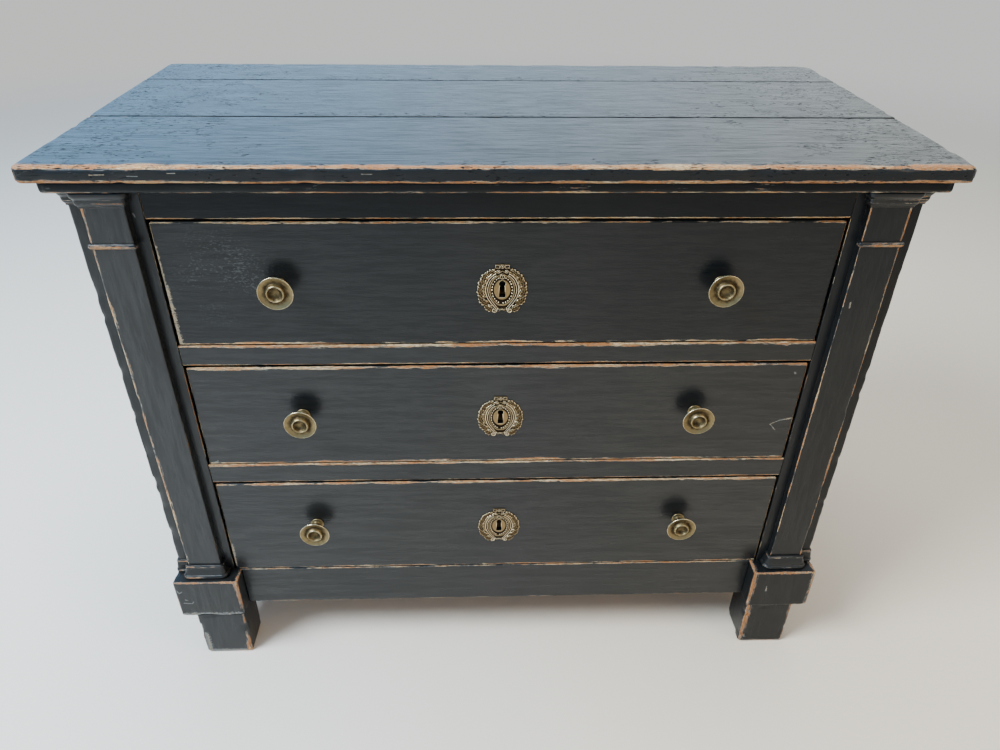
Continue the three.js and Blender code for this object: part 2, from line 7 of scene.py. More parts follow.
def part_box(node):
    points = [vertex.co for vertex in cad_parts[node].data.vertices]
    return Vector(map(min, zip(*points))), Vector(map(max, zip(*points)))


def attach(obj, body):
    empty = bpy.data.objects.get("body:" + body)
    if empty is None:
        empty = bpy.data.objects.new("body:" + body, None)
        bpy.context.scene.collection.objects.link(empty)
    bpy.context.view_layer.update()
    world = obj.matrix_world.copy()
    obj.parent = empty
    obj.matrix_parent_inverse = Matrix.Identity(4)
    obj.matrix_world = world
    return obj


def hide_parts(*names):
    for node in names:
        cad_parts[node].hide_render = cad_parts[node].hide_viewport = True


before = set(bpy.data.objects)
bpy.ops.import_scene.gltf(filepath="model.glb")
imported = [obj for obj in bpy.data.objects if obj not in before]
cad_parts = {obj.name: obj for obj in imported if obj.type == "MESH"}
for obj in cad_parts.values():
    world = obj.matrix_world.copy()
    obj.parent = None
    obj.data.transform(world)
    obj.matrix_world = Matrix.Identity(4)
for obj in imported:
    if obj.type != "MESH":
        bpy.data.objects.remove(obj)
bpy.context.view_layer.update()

mm = 0.001


# Camera

cameraSetup = {
    "place": (-0.0336, -1.0408, 1.0511),   # metres
    "turn": -2.2577,                       # degrees about the vertical
    "tilt": 33.3215,                       # degrees down from level
    "roll": 0.75457,
    "lens": 27.55,
    "sensor": 36,
    "clip": (0.05, 60),
}


def addObject(name, data):
    made = bpy.data.objects.new(name, data)
    bpy.context.scene.collection.objects.link(made)
    return made


def makeCamera(setup):
    data = bpy.data.cameras.new("photoCamera")
    data.lens = setup["lens"]
    data.sensor_width = setup["sensor"]
    data.clip_start, data.clip_end = setup["clip"]
    camera = addObject("photoCamera", data)
    turned = (Matrix.Rotation(math.radians(setup["turn"]), 3, "Z")
              @ Matrix.Rotation(math.radians(90 - setup["tilt"]), 3, "X")
              @ Matrix.Rotation(math.radians(setup["roll"]), 3, "Z"))
    camera.matrix_world = Matrix.Translation(setup["place"]) @ turned.to_4x4()
    bpy.context.scene.camera = camera


# Shader nodes

class Signal:
    # The value that a node puts out. Arithmetic with it adds Math nodes to its tree.
    def __init__(self, socket):
        self.socket, self.tree = socket, socket.id_data

    def calc(self, operation, *values):
        return addNode(self.tree, "Math", dict(enumerate(values)), operation=operation)

    def __add__(self, other):
        return self.calc("ADD", self, other)

    def __sub__(self, other):
        return self.calc("SUBTRACT", self, other)

    def __rsub__(self, other):
        return self.calc("SUBTRACT", other, self)

    def __mul__(self, other):
        return self.calc("MULTIPLY", self, other)

    def __truediv__(self, other):
        return self.calc("DIVIDE", self, other)

    def __abs__(self):
        return self.calc("ABSOLUTE", self)


def wire(node, values):
    # Gives a node's inputs plain values or signals
    for key, value in values.items():
        if isinstance(value, Signal):
            value.tree.links.new(value.socket, node.inputs[key])
        else:
            node.inputs[key].default_value = value


def addNode(tree, kind, inputs=None, output=0, **settings):
    made = tree.nodes.new("ShaderNode" + kind)
    for key, value in settings.items():
        setattr(made, key, value)
    wire(made, inputs or {})
    return Signal(made.outputs[output])


def clamped(value):
    # The Math node behind the value keeps it between 0 and 1
    value.socket.node.use_clamp = True
    return value


def least(*values):
    result = values[0]
    for value in values[1:]:
        result = result.calc("MINIMUM", result, value)
    return result


def most(*values):
    result = values[0]
    for value in values[1:]:
        result = result.calc("MAXIMUM", result, value)
    return result


def vector(operation, *values):
    tree = next(value.tree for value in values if isinstance(value, Signal))
    output = "Value" if operation in ("LENGTH", "DISTANCE", "DOT_PRODUCT") else "Vector"
    values = [value if isinstance(value, Signal) else tuple(value) for value in values]
    return addNode(tree, "VectorMath", dict(enumerate(values)), output, operation=operation)


def axis(place, name):
    return addNode(place.tree, "SeparateXYZ", {0: place}, name)


def mix(share, first, second):
    return addNode(share.tree, "Mix", {0: share, 6: first, 7: second}, 2, data_type="RGBA")


def ramp(value, low, high, lowOut=0.0, highOut=1.0):
    return addNode(value.tree, "MapRange", {0: value, 1: low, 2: high, 3: lowOut, 4: highOut},
                   interpolation_type="SMOOTHSTEP")


def noise(place, scale, detail=3.0, roughness=0.55):
    return addNode(place.tree, "TexNoise", {"Vector": place, "Scale": scale, "Detail": detail,
                                            "Roughness": roughness}, "Fac")


def shifted(value, *shares):
    # Adds noises, each measured from its middle and taken a number of times
    for fac, amount in shares:
        value = value + (fac - 0.5) * amount
    return value


def bump(height, strength, distance):
    return addNode(height.tree, "Bump", {"Strength": strength, "Distance": distance, "Height": height})


def newMaterial(name):
    # The material, its shader and the place on the object
    material = bpy.data.materials.new(name)
    material.use_nodes = True
    tree = material.node_tree
    return material, tree.nodes["Principled BSDF"], addNode(tree, "TexCoord", output="Object")


# Stage

stageSetup = {
    "floorLeft": (0.94, 0.92, 0.88, 1),
    "floorRight": (0.95, 0.83, 0.67, 1),     # warmer, as the right side of the fronts mirrors it
    "warmFrom": -0.6,
    "warmTo": 0.7,
    "floorRoughness": 0.55,
    "floorHalf": 14.0,
    "floorFar": (0.74, 0.74, 0.73, 1),       # how pale the floor is seen to be beyond the lamps
    "farFrom": 2.4,
    "farTo": 5.0,
    "roomColour": (0.76, 0.76, 0.75, 1),
    "skyLeft": (0.44, 0.92, 1.52, 1),        # window light on the left, for reflections and as a lamp
    "skyRight": (0.93, 0.95, 0.88, 1),
    "skyBlend": 0.8,
    "skySeen": 1.18,                         # strength for reflections
    "skyLight": 0.34,                        # strength as a lamp
    "lamps": {
        "keyLeft": {"place": (-2.1, -1.1, 2.8), "aim": (-0.3, -0.6, 0.0), "size": 1.6, "power": 205,
                    "colour": (0.88, 0.955, 1.0)},
        "fillRight": {"place": (2.2, -1.4, 2.6), "aim": (0.3, -0.6, 0.0), "size": 1.6, "power": 24,
                      "colour": (1.0, 0.70, 0.42)},
        "softTop": {"place": (0.1, 0.5, 3.1), "aim": (0.1, 0.1, 0.5), "size": 2.2, "power": 60,
                    "colour": (0.96, 0.99, 1.0)},
    },
}


def seenRays(tree):
    kinds = ("Camera", "Glossy", "Transmission")
    return most(*(addNode(tree, "LightPath", output=f"Is {kind} Ray") for kind in kinds))


def makeFloor(setup):
    half = setup["floorHalf"]
    mesh = bpy.data.meshes.new("floor")
    mesh.from_pydata([(-half, -half, 0), (half, -half, 0), (half, half, 0), (-half, half, 0)], [],
                     [(0, 1, 2, 3)])
    floor = addObject("floor", mesh)
    material, shader, place = newMaterial("paleFloor")
    tree = material.node_tree
    warm = ramp(axis(place, "X"), setup["warmFrom"], setup["warmTo"])
    wire(shader, {"Base Color": mix(warm, setup["floorLeft"], setup["floorRight"]),
                  "Roughness": setup["floorRoughness"]})
    far = ramp(vector("LENGTH", place), setup["farFrom"], setup["farTo"])
    plain = addNode(tree, "Emission", {"Color": setup["floorFar"], "Strength": 1.0})
    blend = addNode(tree, "MixShader", {0: seenRays(tree) * far, 1: Signal(shader.outputs[0]), 2: plain})
    wire(tree.nodes["Material Output"], {"Surface": blend})
    mesh.materials.append(material)


def makeRoom(setup):
    world = bpy.data.worlds.new("paleRoom")
    world.use_nodes = True
    bpy.context.scene.world = world
    tree = world.node_tree
    tree.nodes.clear()
    across = axis(addNode(tree, "TexCoord", output="Generated"), "X")
    colour = mix(ramp(across, -setup["skyBlend"], setup["skyBlend"]), setup["skyLeft"], setup["skyRight"])
    colour = mix(addNode(tree, "LightPath", output="Is Camera Ray"), colour, setup["roomColour"])
    strength = ramp(seenRays(tree), 0, 1, setup["skyLight"], setup["skySeen"])
    background = addNode(tree, "Background", {"Color": colour, "Strength": strength})
    wire(tree.nodes.new("ShaderNodeOutputWorld"), {0: background})

    for name, lamp in setup["lamps"].items():
        data = bpy.data.lights.new(name, "AREA")
        data.shape = "DISK"
        data.size = lamp["size"]
        data.energy = lamp["power"]
        data.color = lamp["colour"]
        light = addObject(name, data)
        light.location = lamp["place"]
        away = Vector(lamp["aim"]) - Vector(lamp["place"])
        light.rotation_euler = away.to_track_quat("-Z", "Y").to_euler()
        light.visible_camera = False


makeCamera(cameraSetup)
makeFloor(stageSetup)
makeRoom(stageSetup)
print("camera and stage ready")


# Mesh helpers

def latticeNoise(points, cell, seed=0):
    # Value noise: random numbers at the corners of cubic cells, blended by smooth steps in each direction
    scaled = np.asarray(points, float) / cell + seed * 17.31
    base = np.floor(scaled).astype(np.int64)
    part = scaled - base
    part = part * part * (3 - 2 * part)
    total = np.zeros(scaled.shape[:-1])
    for corner in range(8):
        step = np.array([corner & 1, corner >> 1 & 1, corner >> 2 & 1])
        key = (base + step) @ np.array([73856093, 19349663, 83492791]) + seed * 9973
        key = (key ^ (key >> 13)) * 1274126177 & 0x7FFFFFFF
        key = (key ^ (key >> 11)) * 668265263 & 0x7FFFFFFF
        weight = np.prod(np.where(step, part, 1 - part), axis=-1)
        total += weight * (key % 65536) / 65535
    return total


def smoothStep(value, low, high):
    share = np.clip((value - low) / (high - low), 0, 1)
    return share * share * (3 - 2 * share)


def softened(profile, rounds=2):
    # Chaikin's rule: every corner of the line is cut at a quarter of its two sides, twice over
    line = np.array(profile, float)
    for _ in range(rounds):
        first = line[:-1] * 0.75 + line[1:] * 0.25
        second = line[:-1] * 0.25 + line[1:] * 0.75
        line = np.concatenate([line[:1], np.stack([first, second], 1).reshape(-1, 2), line[-1:]])
    return line


def levelledProfile(rows):
    # Rows of two places and a level: the softened line, and the level along it
    rows = np.array(rows, float)
    level = softened(np.stack([np.arange(len(rows)), rows[:, 2]], 1))[:, 1]
    return softened(rows[:, :2]), level


def ring(count):
    return np.linspace(0, 2 * math.pi, count, endpoint=False)


def towards(angle):
    return np.stack([np.cos(angle), np.sin(angle)], -1)


def gridQuads(rows, columns, closeRows=False, closeColumns=False):
    # Quads of a grid of rows times columns points, row after row
    i = np.arange(rows if closeRows else rows - 1)[:, None]
    j = np.arange(columns if closeColumns else columns - 1)[None, :]
    nextI, nextJ = (i + 1) % rows, (j + 1) % columns
    quads = np.stack([i * columns + j, i * columns + nextJ, nextI * columns + nextJ, nextI * columns + j], -1)
    return quads.reshape(-1, 4)


class Shape:
    # Gathers grids of points into one mesh, with a level of wear or polish for each point
    def __init__(self):
        self.points, self.faces, self.values, self.count = [], [], [], 0

    def add(self, points, faces, value=0.0):
        points = np.asarray(points, float).reshape(-1, 3)
        self.points.append(points)
        self.faces += [tuple(face) for face in (np.asarray(faces) + self.count).tolist()]
        self.values.append(np.broadcast_to(np.asarray(value, float).reshape(-1), (len(points),)))
        self.count += len(points)

    def tube(self, points, value, inwards=False, closed=False):
        # Rows of rings, closed into a loop or capped at both ends
        rows, columns = points.shape[:2]
        order = -1 if inwards else 1
        self.add(points, gridQuads(rows, columns, closed, True)[:, ::order], value)
        if not closed:
            last = self.count - columns
            first = last - (rows - 1) * columns
            self.faces += [tuple(range(first, first + columns))[::-order],
                           tuple(range(last, self.count))[::order]]

    def welded(self):
        # The grids share their borders, so equal points are made one
        points = np.concatenate(self.points)
        _, firsts, inverse = np.unique(np.round(points / (0.02 * mm)).astype(np.int64), axis=0,
                                       return_index=True, return_inverse=True)
        faces = inverse.reshape(-1)[np.array(self.faces)]
        whole = [len(set(face)) == 4 for face in faces.tolist()]
        made = Shape()
        made.add(points[firsts], faces[whole], np.concatenate(self.values)[firsts])
        return made

    def piece(self, name, body, slotName, material, stands=None):
        mesh = bpy.data.meshes.new(name)
        mesh.from_pydata(np.concatenate(self.points).tolist(), [], self.faces)
        level = mesh.attributes.new("level", "FLOAT", "POINT")
        level.data.foreach_set("value", np.concatenate(self.values).astype(np.float32))
        mesh.shade_smooth()
        mesh.materials.append(material)
        mesh.validate()
        made = addObject(name, mesh)
        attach(made, body)
        if stands:
            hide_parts(stands)


# Painted wood

paintSetup = {
    "paint": (0.0050, 0.0065, 0.0080, 1),
    "rubbed": (0.0140, 0.0145, 0.0145, 1),
    "grey": (0.25, 0.28, 0.28, 1),
    "cream": (0.67, 0.54, 0.36, 1),
    "wood": (0.42, 0.175, 0.055, 1),
    "woodPale": (0.62, 0.41, 0.19, 1),
    "woodDark": (0.10, 0.042, 0.018, 1),
    # The darkest colour: pits, nail holes and dirty joints, and the painted shade along the drawer fronts'
    # lower edges
    "pitAndShade": (0.004, 0.005, 0.006, 1),
    "bare": (0.42, 0.27, 0.14, 1),
    "bareDark": (0.22, 0.12, 0.055, 1),
    "gloss": 0.20,                           # coat where the paint is whole
    "coatRoughness": 0.27,
    "specular": 0.36,
    "relief": 0.0009,                        # metres
    "lapBlur": 0.006,
}
grainRuns = {"x": (13.0, 180.0, 180.0), "y": (180.0, 13.0, 180.0), "z": (180.0, 180.0, 13.0),
             "short x": (16.0, 430.0, 430.0)}
groupSockets = {
    "INPUT": ("Place", "Grain", "Edge", "Mark", "Painted", "Wear", "Flecks", "Dust", "Tone"),
    "OUTPUT": ("Color", "Roughness", "Coat", "Height"),
}


def makePaintGroup(setup):
    # Worn edge: the distance to it, shifted by patches and fibres, shows wood first, then the undercoat
    tree = bpy.data.node_groups.new("wornPaint", "ShaderNodeTree")
    kinds = {"Place": "Vector", "Grain": "Vector", "Color": "Color"}
    for way, names in groupSockets.items():
        for name in names:
            tree.interface.new_socket(name, in_out=way, socket_type="NodeSocket" + kinds.get(name, "Float"))
    inputs = tree.nodes.new("NodeGroupInput").outputs
    given = {name: Signal(inputs[name]) for name in groupSockets["INPUT"]}
    place, tone = given["Place"], given["Tone"]
    along = vector("MULTIPLY", place, given["Grain"])
    streak = noise(along, 1.0, 6, 0.6)
    nibble = noise(along, 2.2, 5, 0.65)
    fibre = noise(along, 4.5, 4, 0.65)
    hair = noise(along, 10.0, 2, 0.5)
    patch = noise(place, 15.0, 3, 0.6)
    crumb = noise(place, 380.0, 3, 0.6)
    hue = noise(place, 8.0, 2)
    cloud = noise(place, 4.0, 3, 0.5)
    gather = noise(place, 30.0, 2)
    tick = noise(vector("MULTIPLY", place, (150.0, 560.0, 560.0)), 1.0, 1, 0.5)
    speck = noise(vector("MULTIPLY", place, (300.0, 600.0, 600.0)), 1.0, 2, 0.6)

    worn = shifted(given["Edge"], (patch, 2.7), (nibble, 1.9), (fibre, 1.4), (hair, 0.8), (crumb, 0.9))
    worn = worn - given["Wear"]
    marked = shifted(given["Mark"], (crumb, 3.4), (fibre, 2.0))
    wood = ramp(worn, 0.46, 0.36) * ramp(shifted(hair, (crumb, 0.8)), 0.30, 0.42)
    thin = ramp(shifted(nibble, (crumb, 1.0)), 0.36, 0.62, 0.35, 1.0)
    under = most(ramp(worn, 0.62, 0.46) * thin, ramp(marked, 1.0, 0.5) * 0.55)
    pits = ramp(tick, 0.60, 0.66) * ramp(shifted(given["Flecks"], (gather, 1.6)), 0.42, 0.52)
    painted = ramp(shifted(given["Painted"], (nibble, 1.2)), 0.45, 0.55)

    paint = mix(ramp(streak, 0.35, 0.75, 0.0, 0.6), setup["paint"], setup["rubbed"])
    paint = mix(ramp(cloud, 0.35, 0.75, 0.0, 0.6), paint, setup["rubbed"])
    dust = ramp(shifted(speck, (patch, 0.7)), 0.60, 0.72) * given["Dust"]
    dust = most(dust, ramp(crumb, 0.76, 0.80) * 0.7)
    paint = mix(dust * 0.14, paint, setup["grey"])
    primer = mix(ramp(shifted(nibble, (crumb, 0.6), (tone, 0.25)), 0.44, 0.58), setup["grey"], setup["cream"])
    primer = mix(ramp(hair, 0.52, 0.66, 0.0, 0.7), primer, setup["woodDark"])
    pale = ramp(shifted(fibre, (nibble, 1.2), (hue, 1.4), (tone, 0.40)), 0.45, 0.62)
    timber = mix(pale, setup["wood"], setup["woodPale"])
    pale = ramp(shifted(nibble, (fibre, 0.9), (hue, 0.8), (tone, 0.25)), 0.56, 0.64, 0.0, 0.85)
    timber = mix(pale, timber, setup["cream"])
    timber = mix(ramp(shifted(hair, (nibble, 0.4)), 0.50, 0.62, 0.0, 0.9), timber, setup["woodDark"])
    bare = mix(ramp(streak, 0.3, 0.7), setup["bareDark"], setup["bare"])
    bare = mix(ramp(fibre, 0.55, 0.8, 0.0, 0.4), bare, setup["bareDark"])
    colour = mix(wood, mix(under, paint, primer), timber)
    colour = mix(painted, bare, mix(pits, colour, setup["pitAndShade"]))

    rough = ramp(streak, 0.3, 0.8, 0.27, 0.38)
    for share, value in ((under, 0.55), (wood, 0.62), (pits, 0.9), (1.0 - painted, 0.75)):
        rough = most(rough, share * value)
    whole = (1.0 - most(under, pits)) * painted
    coat = ramp(shifted(streak, (fibre, 0.8)), 0.38, 0.64, setup["gloss"] * 1.8, setup["gloss"] * 0.3) * whole
    height = streak * 0.09
    for fac, amount in ((fibre, 0.09), (hair, 0.05), (under, -0.10), (wood, -0.08), (pits, -0.35)):
        height = height + fac * amount
    wire(tree.nodes.new("NodeGroupOutput"), dict(zip(groupSockets["OUTPUT"], (colour, rough, coat, height))))
    return tree


def edgeDistance(place, low, high, reach):
    # On a box one of the three distances to the faces is zero, so the nearest edge is the second
    # smallest of them. Each face has its own reach in millimetres: the wear that it shares with its
    # neighbours goes that far.
    perLow = vector("MULTIPLY", vector("SUBTRACT", place, low), [1 / (r * mm) for r in reach[:3]])
    perHigh = vector("MULTIPLY", vector("SUBTRACT", high, place), [1 / (r * mm) for r in reach[3:]])
    nearest = vector("MAXIMUM", vector("MINIMUM", perLow, perHigh), (0, 0, 0))
    x, y, z = (axis(nearest, name) for name in "XYZ")
    return least(most(x, y), most(y, z), most(z, x))


def fromScratch(place, start, end, width):
    # Distance to a straight scratch, by the nearest point on it, in widths
    run = Vector(end) - Vector(start)
    offset = vector("SUBTRACT", place, start)
    share = clamped(vector("DOT_PRODUCT", offset, run) / run.length_squared)
    onRun = addNode(place.tree, "VectorMath", {0: tuple(run), "Scale": share}, operation="SCALE")
    return vector("LENGTH", vector("SUBTRACT", offset, onRun)) / (width * mm)


def levelOf(place):
    return addNode(place.tree, "Attribute", output="Fac", attribute_name="level")


paintGroup = makePaintGroup(paintSetup)


def paintedWood(name, low=None, high=None, grain="x", reach=None, wear=0.0, seed=0.0, tone=0.5, shine=1.0,
                lap=None, marks=(), dusty=None, flecks=None, calm=None, darkening=0.0, glaze=None, gaps=None):
    # Without a reach the wear follows the level of the mesh. A tone of 0 bares brown wood and 1 pale wood.
    # lap = (direction, distance): the paint ends that far along the direction, and bare wood follows.
    # calm = (height, amount) spares what is above the height, and glaze = (height, amount) makes the coat
    # thicker there. The width given for the dark line along the lower edge is in millimetres; that line is
    # painted shade of the joint beneath the board, with some grime in it. gaps holds the nail holes, and the
    # places across the boards, each with its width, where dirt lies in an open joint.
    material, shader, place = newMaterial(name)
    height = axis(place, "Z")
    values = {"Place": vector("ADD", place, (seed, seed * 0.37, seed * 0.61)), "Grain": grainRuns[grain],
              "Mark": 9.0, "Painted": 1.0, "Wear": wear, "Flecks": 0.0, "Dust": 0.0, "Tone": tone}
    values["Edge"] = edgeDistance(place, low, high, reach) if reach else 1.6 - levelOf(place) * 1.6
    if calm:
        values["Edge"] = values["Edge"] + ramp(height, calm[0] - 1.4 * mm, calm[0], 0.0, calm[1])
    if marks:
        values["Mark"] = least(*(fromScratch(place, *mark) for mark in marks))
    if lap:
        depth = vector("DOT_PRODUCT", place, lap[0]) - lap[1]
        values["Painted"] = clamped(1.0 - (depth / paintSetup["lapBlur"] + 0.5))
    if dusty:
        values["Dust"] = ramp(vector("DISTANCE", place, dusty[0]), dusty[1], dusty[1] * 0.3)
    if flecks:
        # Pits gather towards both ends of the board and along its front edge
        ends = ramp(abs(axis(place, "X")), *flecks["ends"])
        front = ramp(axis(place, "Y"), *(low[1] + reach for reach in flecks["front"]))
        values["Flecks"] = most(ends, front) * flecks["amount"]
    group = place.tree.nodes.new("ShaderNodeGroup")
    group.node_tree = paintGroup
    wire(group, values)
    colour, rough, coat, relief = (Signal(group.outputs[key]) for key in groupSockets["OUTPUT"])
    # Painted shade, with some grime: a dark line along the lower edge, where the board meets the one beneath
    # it
    if darkening:
        colour = mix(ramp(height, low[2] + darkening * mm, low[2] + darkening * 0.6 * mm), colour, paintSetup["pitAndShade"])
    coat = coat * shine
    if glaze:
        coat = clamped(coat * ramp(height, glaze[0] - 1.5 * mm, glaze[0], 0.5, glaze[1]))
    if gaps:
        hole = ramp(least(*(vector("DISTANCE", place, spot) for spot in gaps["holes"])), 0.0042, 0.0020)
        across = axis(place, "Y")
        away = least(*(abs(across - joint) / (width * mm) for joint, width in gaps["joints"]))
        dull = most(hole, ramp(away, 0.55, 0.40))
        colour = mix(dull, colour, paintSetup["pitAndShade"])
        coat = coat * (1.0 - dull)
        relief = relief - hole
    normal = bump(relief, 1.0, paintSetup["relief"])
    wire(shader, {"Base Color": colour, "Roughness": rough, "Normal": normal, "Coat Weight": coat,
                  "Coat Roughness": paintSetup["coatRoughness"], "Coat Normal": normal,
                  "Specular IOR Level": paintSetup["specular"] * shine})
    return material


# Bare pine, brass and iron

pineSetup = {
    "light": (0.56, 0.37, 0.20),
    "dark": (0.36, 0.20, 0.09),
    "stained": (0.25, 0.16, 0.09),
    "warm": (0.62, 0.44, 0.26),
    "stretch": 0.06,                         # scale of the pattern along the grain
    "rings": {"Scale": 22.0, "Distortion": 9.0, "Detail": 3.0, "Detail Scale": 1.2, "Detail Roughness": 0.6},
}
ironSetup = {"dark": (0.11, 0.105, 0.10, 1), "rust": (0.15, 0.07, 0.03, 1), "metallic": 0.85}


def barePine(name, grain="x", tone=1.0, seed=0.0):
    material, shader, place = newMaterial(name)
    light, dark, stained, warm = ([c * tone for c in pineSetup[key]] + [1]
                                  for key in ("light", "dark", "stained", "warm"))
    moved = vector("ADD", place, (seed, seed * 0.43, seed * 0.71))
    along = vector("MULTIPLY", moved, [pineSetup["stretch"] if letter == grain else 1.0 for letter in "xyz"])
    rings = addNode(place.tree, "TexWave", {"Vector": along, **pineSetup["rings"]}, "Fac", wave_type="BANDS",
                    bands_direction="DIAGONAL")
    fibre = noise(along, 520.0, 4, 0.65)
    colour = mix(ramp(rings, 0.35, 0.95, 0.0, 0.75), light, dark)
    colour = mix(ramp(fibre, 0.45, 0.8, 0.0, 0.45), colour, dark)
    colour = mix(ramp(noise(moved, 5.0, 4, 0.6), 0.45, 0.8, 0.0, 0.5), colour, stained)
    colour = mix(ramp(noise(along, 9.0, 2, 0.5), 0.3, 0.8, 0.0, 0.2), colour, warm)
    wire(shader, {"Base Color": colour, "Roughness": ramp(fibre, 0.3, 0.8, 0.62, 0.85),
                  "Normal": bump(rings * 0.15 + fibre * 0.2, 0.8, 0.0006)})
    return material


def agedBrass(name, tones, darkening):
    # Level is 0 in the recesses, where the metal is brown, and 1 on the crests, kept bright by hands
    material, shader, place = newMaterial(name)
    cloud = noise(place, 180.0, 4, 0.6)
    grit = noise(place, 1400.0, 3, 0.6)
    # A cloud of grime moves the polish up and down in patches
    share = shifted(levelOf(place), (cloud, darkening), (grit, 0.25))
    colour = mix(ramp(share, 0.02, 0.5), tones[0], tones[1])
    colour = mix(ramp(share, 0.55, 1.0), colour, tones[2])
    wire(shader, {"Metallic": 1.0, "Base Color": colour, "Roughness": ramp(share, 0.1, 0.9, 0.55, 0.26),
                  "Normal": bump(cloud * 0.4 + grit * 0.2, 0.6, 0.0003)})
    return material


def forgedIron(name):
    material, shader, place = newMaterial(name)
    cloud = noise(place, 60.0, 5, 0.65)
    colour = mix(ramp(cloud, 0.45, 0.72), ironSetup["dark"], ironSetup["rust"])
    wire(shader, {"Metallic": ironSetup["metallic"], "Base Color": colour,
                  "Roughness": ramp(cloud, 0.4, 0.7, 0.42, 0.75),
                  "Normal": bump(noise(place, 900.0, 3, 0.6), 0.7, 0.0004)})
    return material


def dress(node, material):
    # A carried-over node keeps its shape and takes the new material in its slots
    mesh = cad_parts[node].data
    mesh.materials.clear()
    mesh.materials.append(material)


# Carried-over boards

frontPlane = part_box("drawer_rail_upper")[0].y
sides = {"left": -1, "right": 1}
levels = ("upper", "middle", "lower")


def marksOn(plane, *rows):
    # Scratches on an upright plane at this y, from rows of x, z, x, z in metres and width in millimetres
    return [((x, plane, z), (lastX, plane, lastZ), width) for x, z, lastX, lastZ, width in rows]


boardFinishes = {
    "top_rail": {"reach": (0.4, 1.4, 1.5, 0.4, 0.4, 0.4), "wear": 0.42, "lap": 0.012, "seed": 1.3,
                 "tone": 0.8, "shine": 0.33},
    "drawer_rail_upper": {"reach": (0.4, 2.4, 1.9, 0.4, 0.4, 3.4), "wear": 0.30, "lap": 0.012, "seed": 2.1,
                          "tone": 0.5, "shine": 0.75},
    "drawer_rail_lower": {"reach": (0.4, 2.4, 1.9, 0.4, 0.4, 2.8), "wear": 0.28, "lap": 0.012, "seed": 3.7,
                          "tone": 0.5, "shine": 0.8},
    "bottom_rail": {"reach": (0.4, 1.2, 1.8, 0.4, 0.4, 1.7), "wear": 0.15, "lap": 0.020, "seed": 4.9,
                    "tone": 0.5, "shine": 0.8},
}
openingHalf = 0.4

for node, finish in boardFinishes.items():
    low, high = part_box(node)
    if node != "bottom_rail":
        low.x, high.x = -openingHalf, openingHalf      # the tenons are hidden, so the wear stops at the posts
    lap = ((0, 1, 0), frontPlane + finish["lap"])
    dress(node, paintedWood(node + "_paint", low, high, **{**finish, "lap": lap}))

sideSetup = {"reach": (1.8, 0.5, 2.2, 1.8, 2.0, 0.6), "wear": 0.05, "lap": 0.003}
for side, sign in sides.items():
    low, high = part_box("side_board_" + side)
    inside = (low.x if sign > 0 else high.x) + sign * sideSetup["lap"]
    paint = paintedWood("side_paint_" + side, low, high, "z", sideSetup["reach"], sideSetup["wear"],
                        10.7 + sign, lap=((-sign, 0, 0), -sign * inside))
    dress("side_board_" + side, paint)
    for level in ("upper", "lower"):
        dress(f"runner_{level}_{side}", barePine(f"runner_pine_{level}_{side}", "y", 0.85, 3.1 + sign))

dress("back_panel", barePine("back_pine", "x", 0.62, 0.7))
dress("bottom_board", barePine("bottom_pine", "x", 0.80, 1.9))

frontSetup = {
    "upper": {"reach": (1.2, 1.8, 3.6, 0.9, 1.0, 2.0), "wear": 0.26, "tone": 0.75, "shine": 0.58,
              "dusty": ((-0.325, frontPlane, 0.650), 0.085),
              "marks": marksOn(frontPlane, (-0.3955, 0.600, -0.3962, 0.690, 2.2),
                               (-0.3950, 0.562, -0.3955, 0.640, 3.6))},
    "middle": {"reach": (1.0, 2.4, 3.8, 1.2, 1.0, 3.6), "wear": 0.25, "tone": 0.5, "shine": 0.8,
               "marks": marksOn(frontPlane, (0.3669, 0.4279, 0.3793, 0.4345, 0.8),
                                (0.3793, 0.4345, 0.3951, 0.4377, 1.0), (0.3669, 0.4279, 0.3760, 0.4176, 0.6),
                                (0.3820, 0.5112, 0.3834, 0.5100, 1.4),
                                (-0.3850, 0.3748, -0.3890, 0.3720, 1.4))},
    "lower": {"reach": (1.0, 2.2, 3.0, 1.2, 1.0, 3.1), "wear": 0.27, "tone": 0.65, "shine": 0.82,
              "marks": marksOn(frontPlane, (-0.3960, 0.172, -0.3945, 0.215, 2.4))},
}
drawerGrains = {"side_left": "y", "side_right": "y", "back": "x", "bottom": "x"}

for index, level in enumerate(levels):
    low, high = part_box(f"drawer_{level}_front")
    # Each front has a line of painted shade, with some grime, along its lower edge, where it sits on the rail
    paint = paintedWood(f"drawer_paint_{level}", low, high, seed=13.0 + index * 1.7,
                        lap=((0, 1, 0), low.y + 0.007), darkening=1.8, **frontSetup[level])
    dress(f"drawer_{level}_front", paint)
    for part, grain in drawerGrains.items():
        dress(f"drawer_{level}_{part}", barePine(f"pine_{level}_{part}", grain, 1.0, 2.3 * index + len(part)))
    iron = forgedIron(f"iron_{level}")
    dress(f"lock_{level}", iron)
    dress(f"lock_bolt_{level}", iron)
print("carried-over boards dressed")


# Worn boards

def edgeCuts(length, radius, spacing):
    # Places along one side of a box: close together at the rounded edges of both ends, even between
    near = radius * np.array([0, 0.22, 0.45, 0.7, 1.0, 1.4, 2.0])
    near = near[near < length * 0.45]
    count = int(round((length - 2 * near[-1]) / spacing)) + 1
    middle = np.linspace(near[-1], length - near[-1], max(2, count))
    return np.concatenate([near[:-1], middle, (length - near[:-1])[::-1]])


def roundPlan(points, low, high, way, radius):
    # Squares round a plan corner are drawn in to quarter circles. way leads from the middle to the corner.
    centre = np.where(way > 0, high[:2] - radius, low[:2] + radius)
    offset = (points[..., :2] - centre) * way
    length = np.maximum(np.linalg.norm(offset, axis=-1), 1e-9)
    drawn = centre + offset * (offset.max(-1) / length)[..., None] * way
    points[..., :2] = np.where((offset > 0).all(-1)[..., None], drawn, points[..., :2])


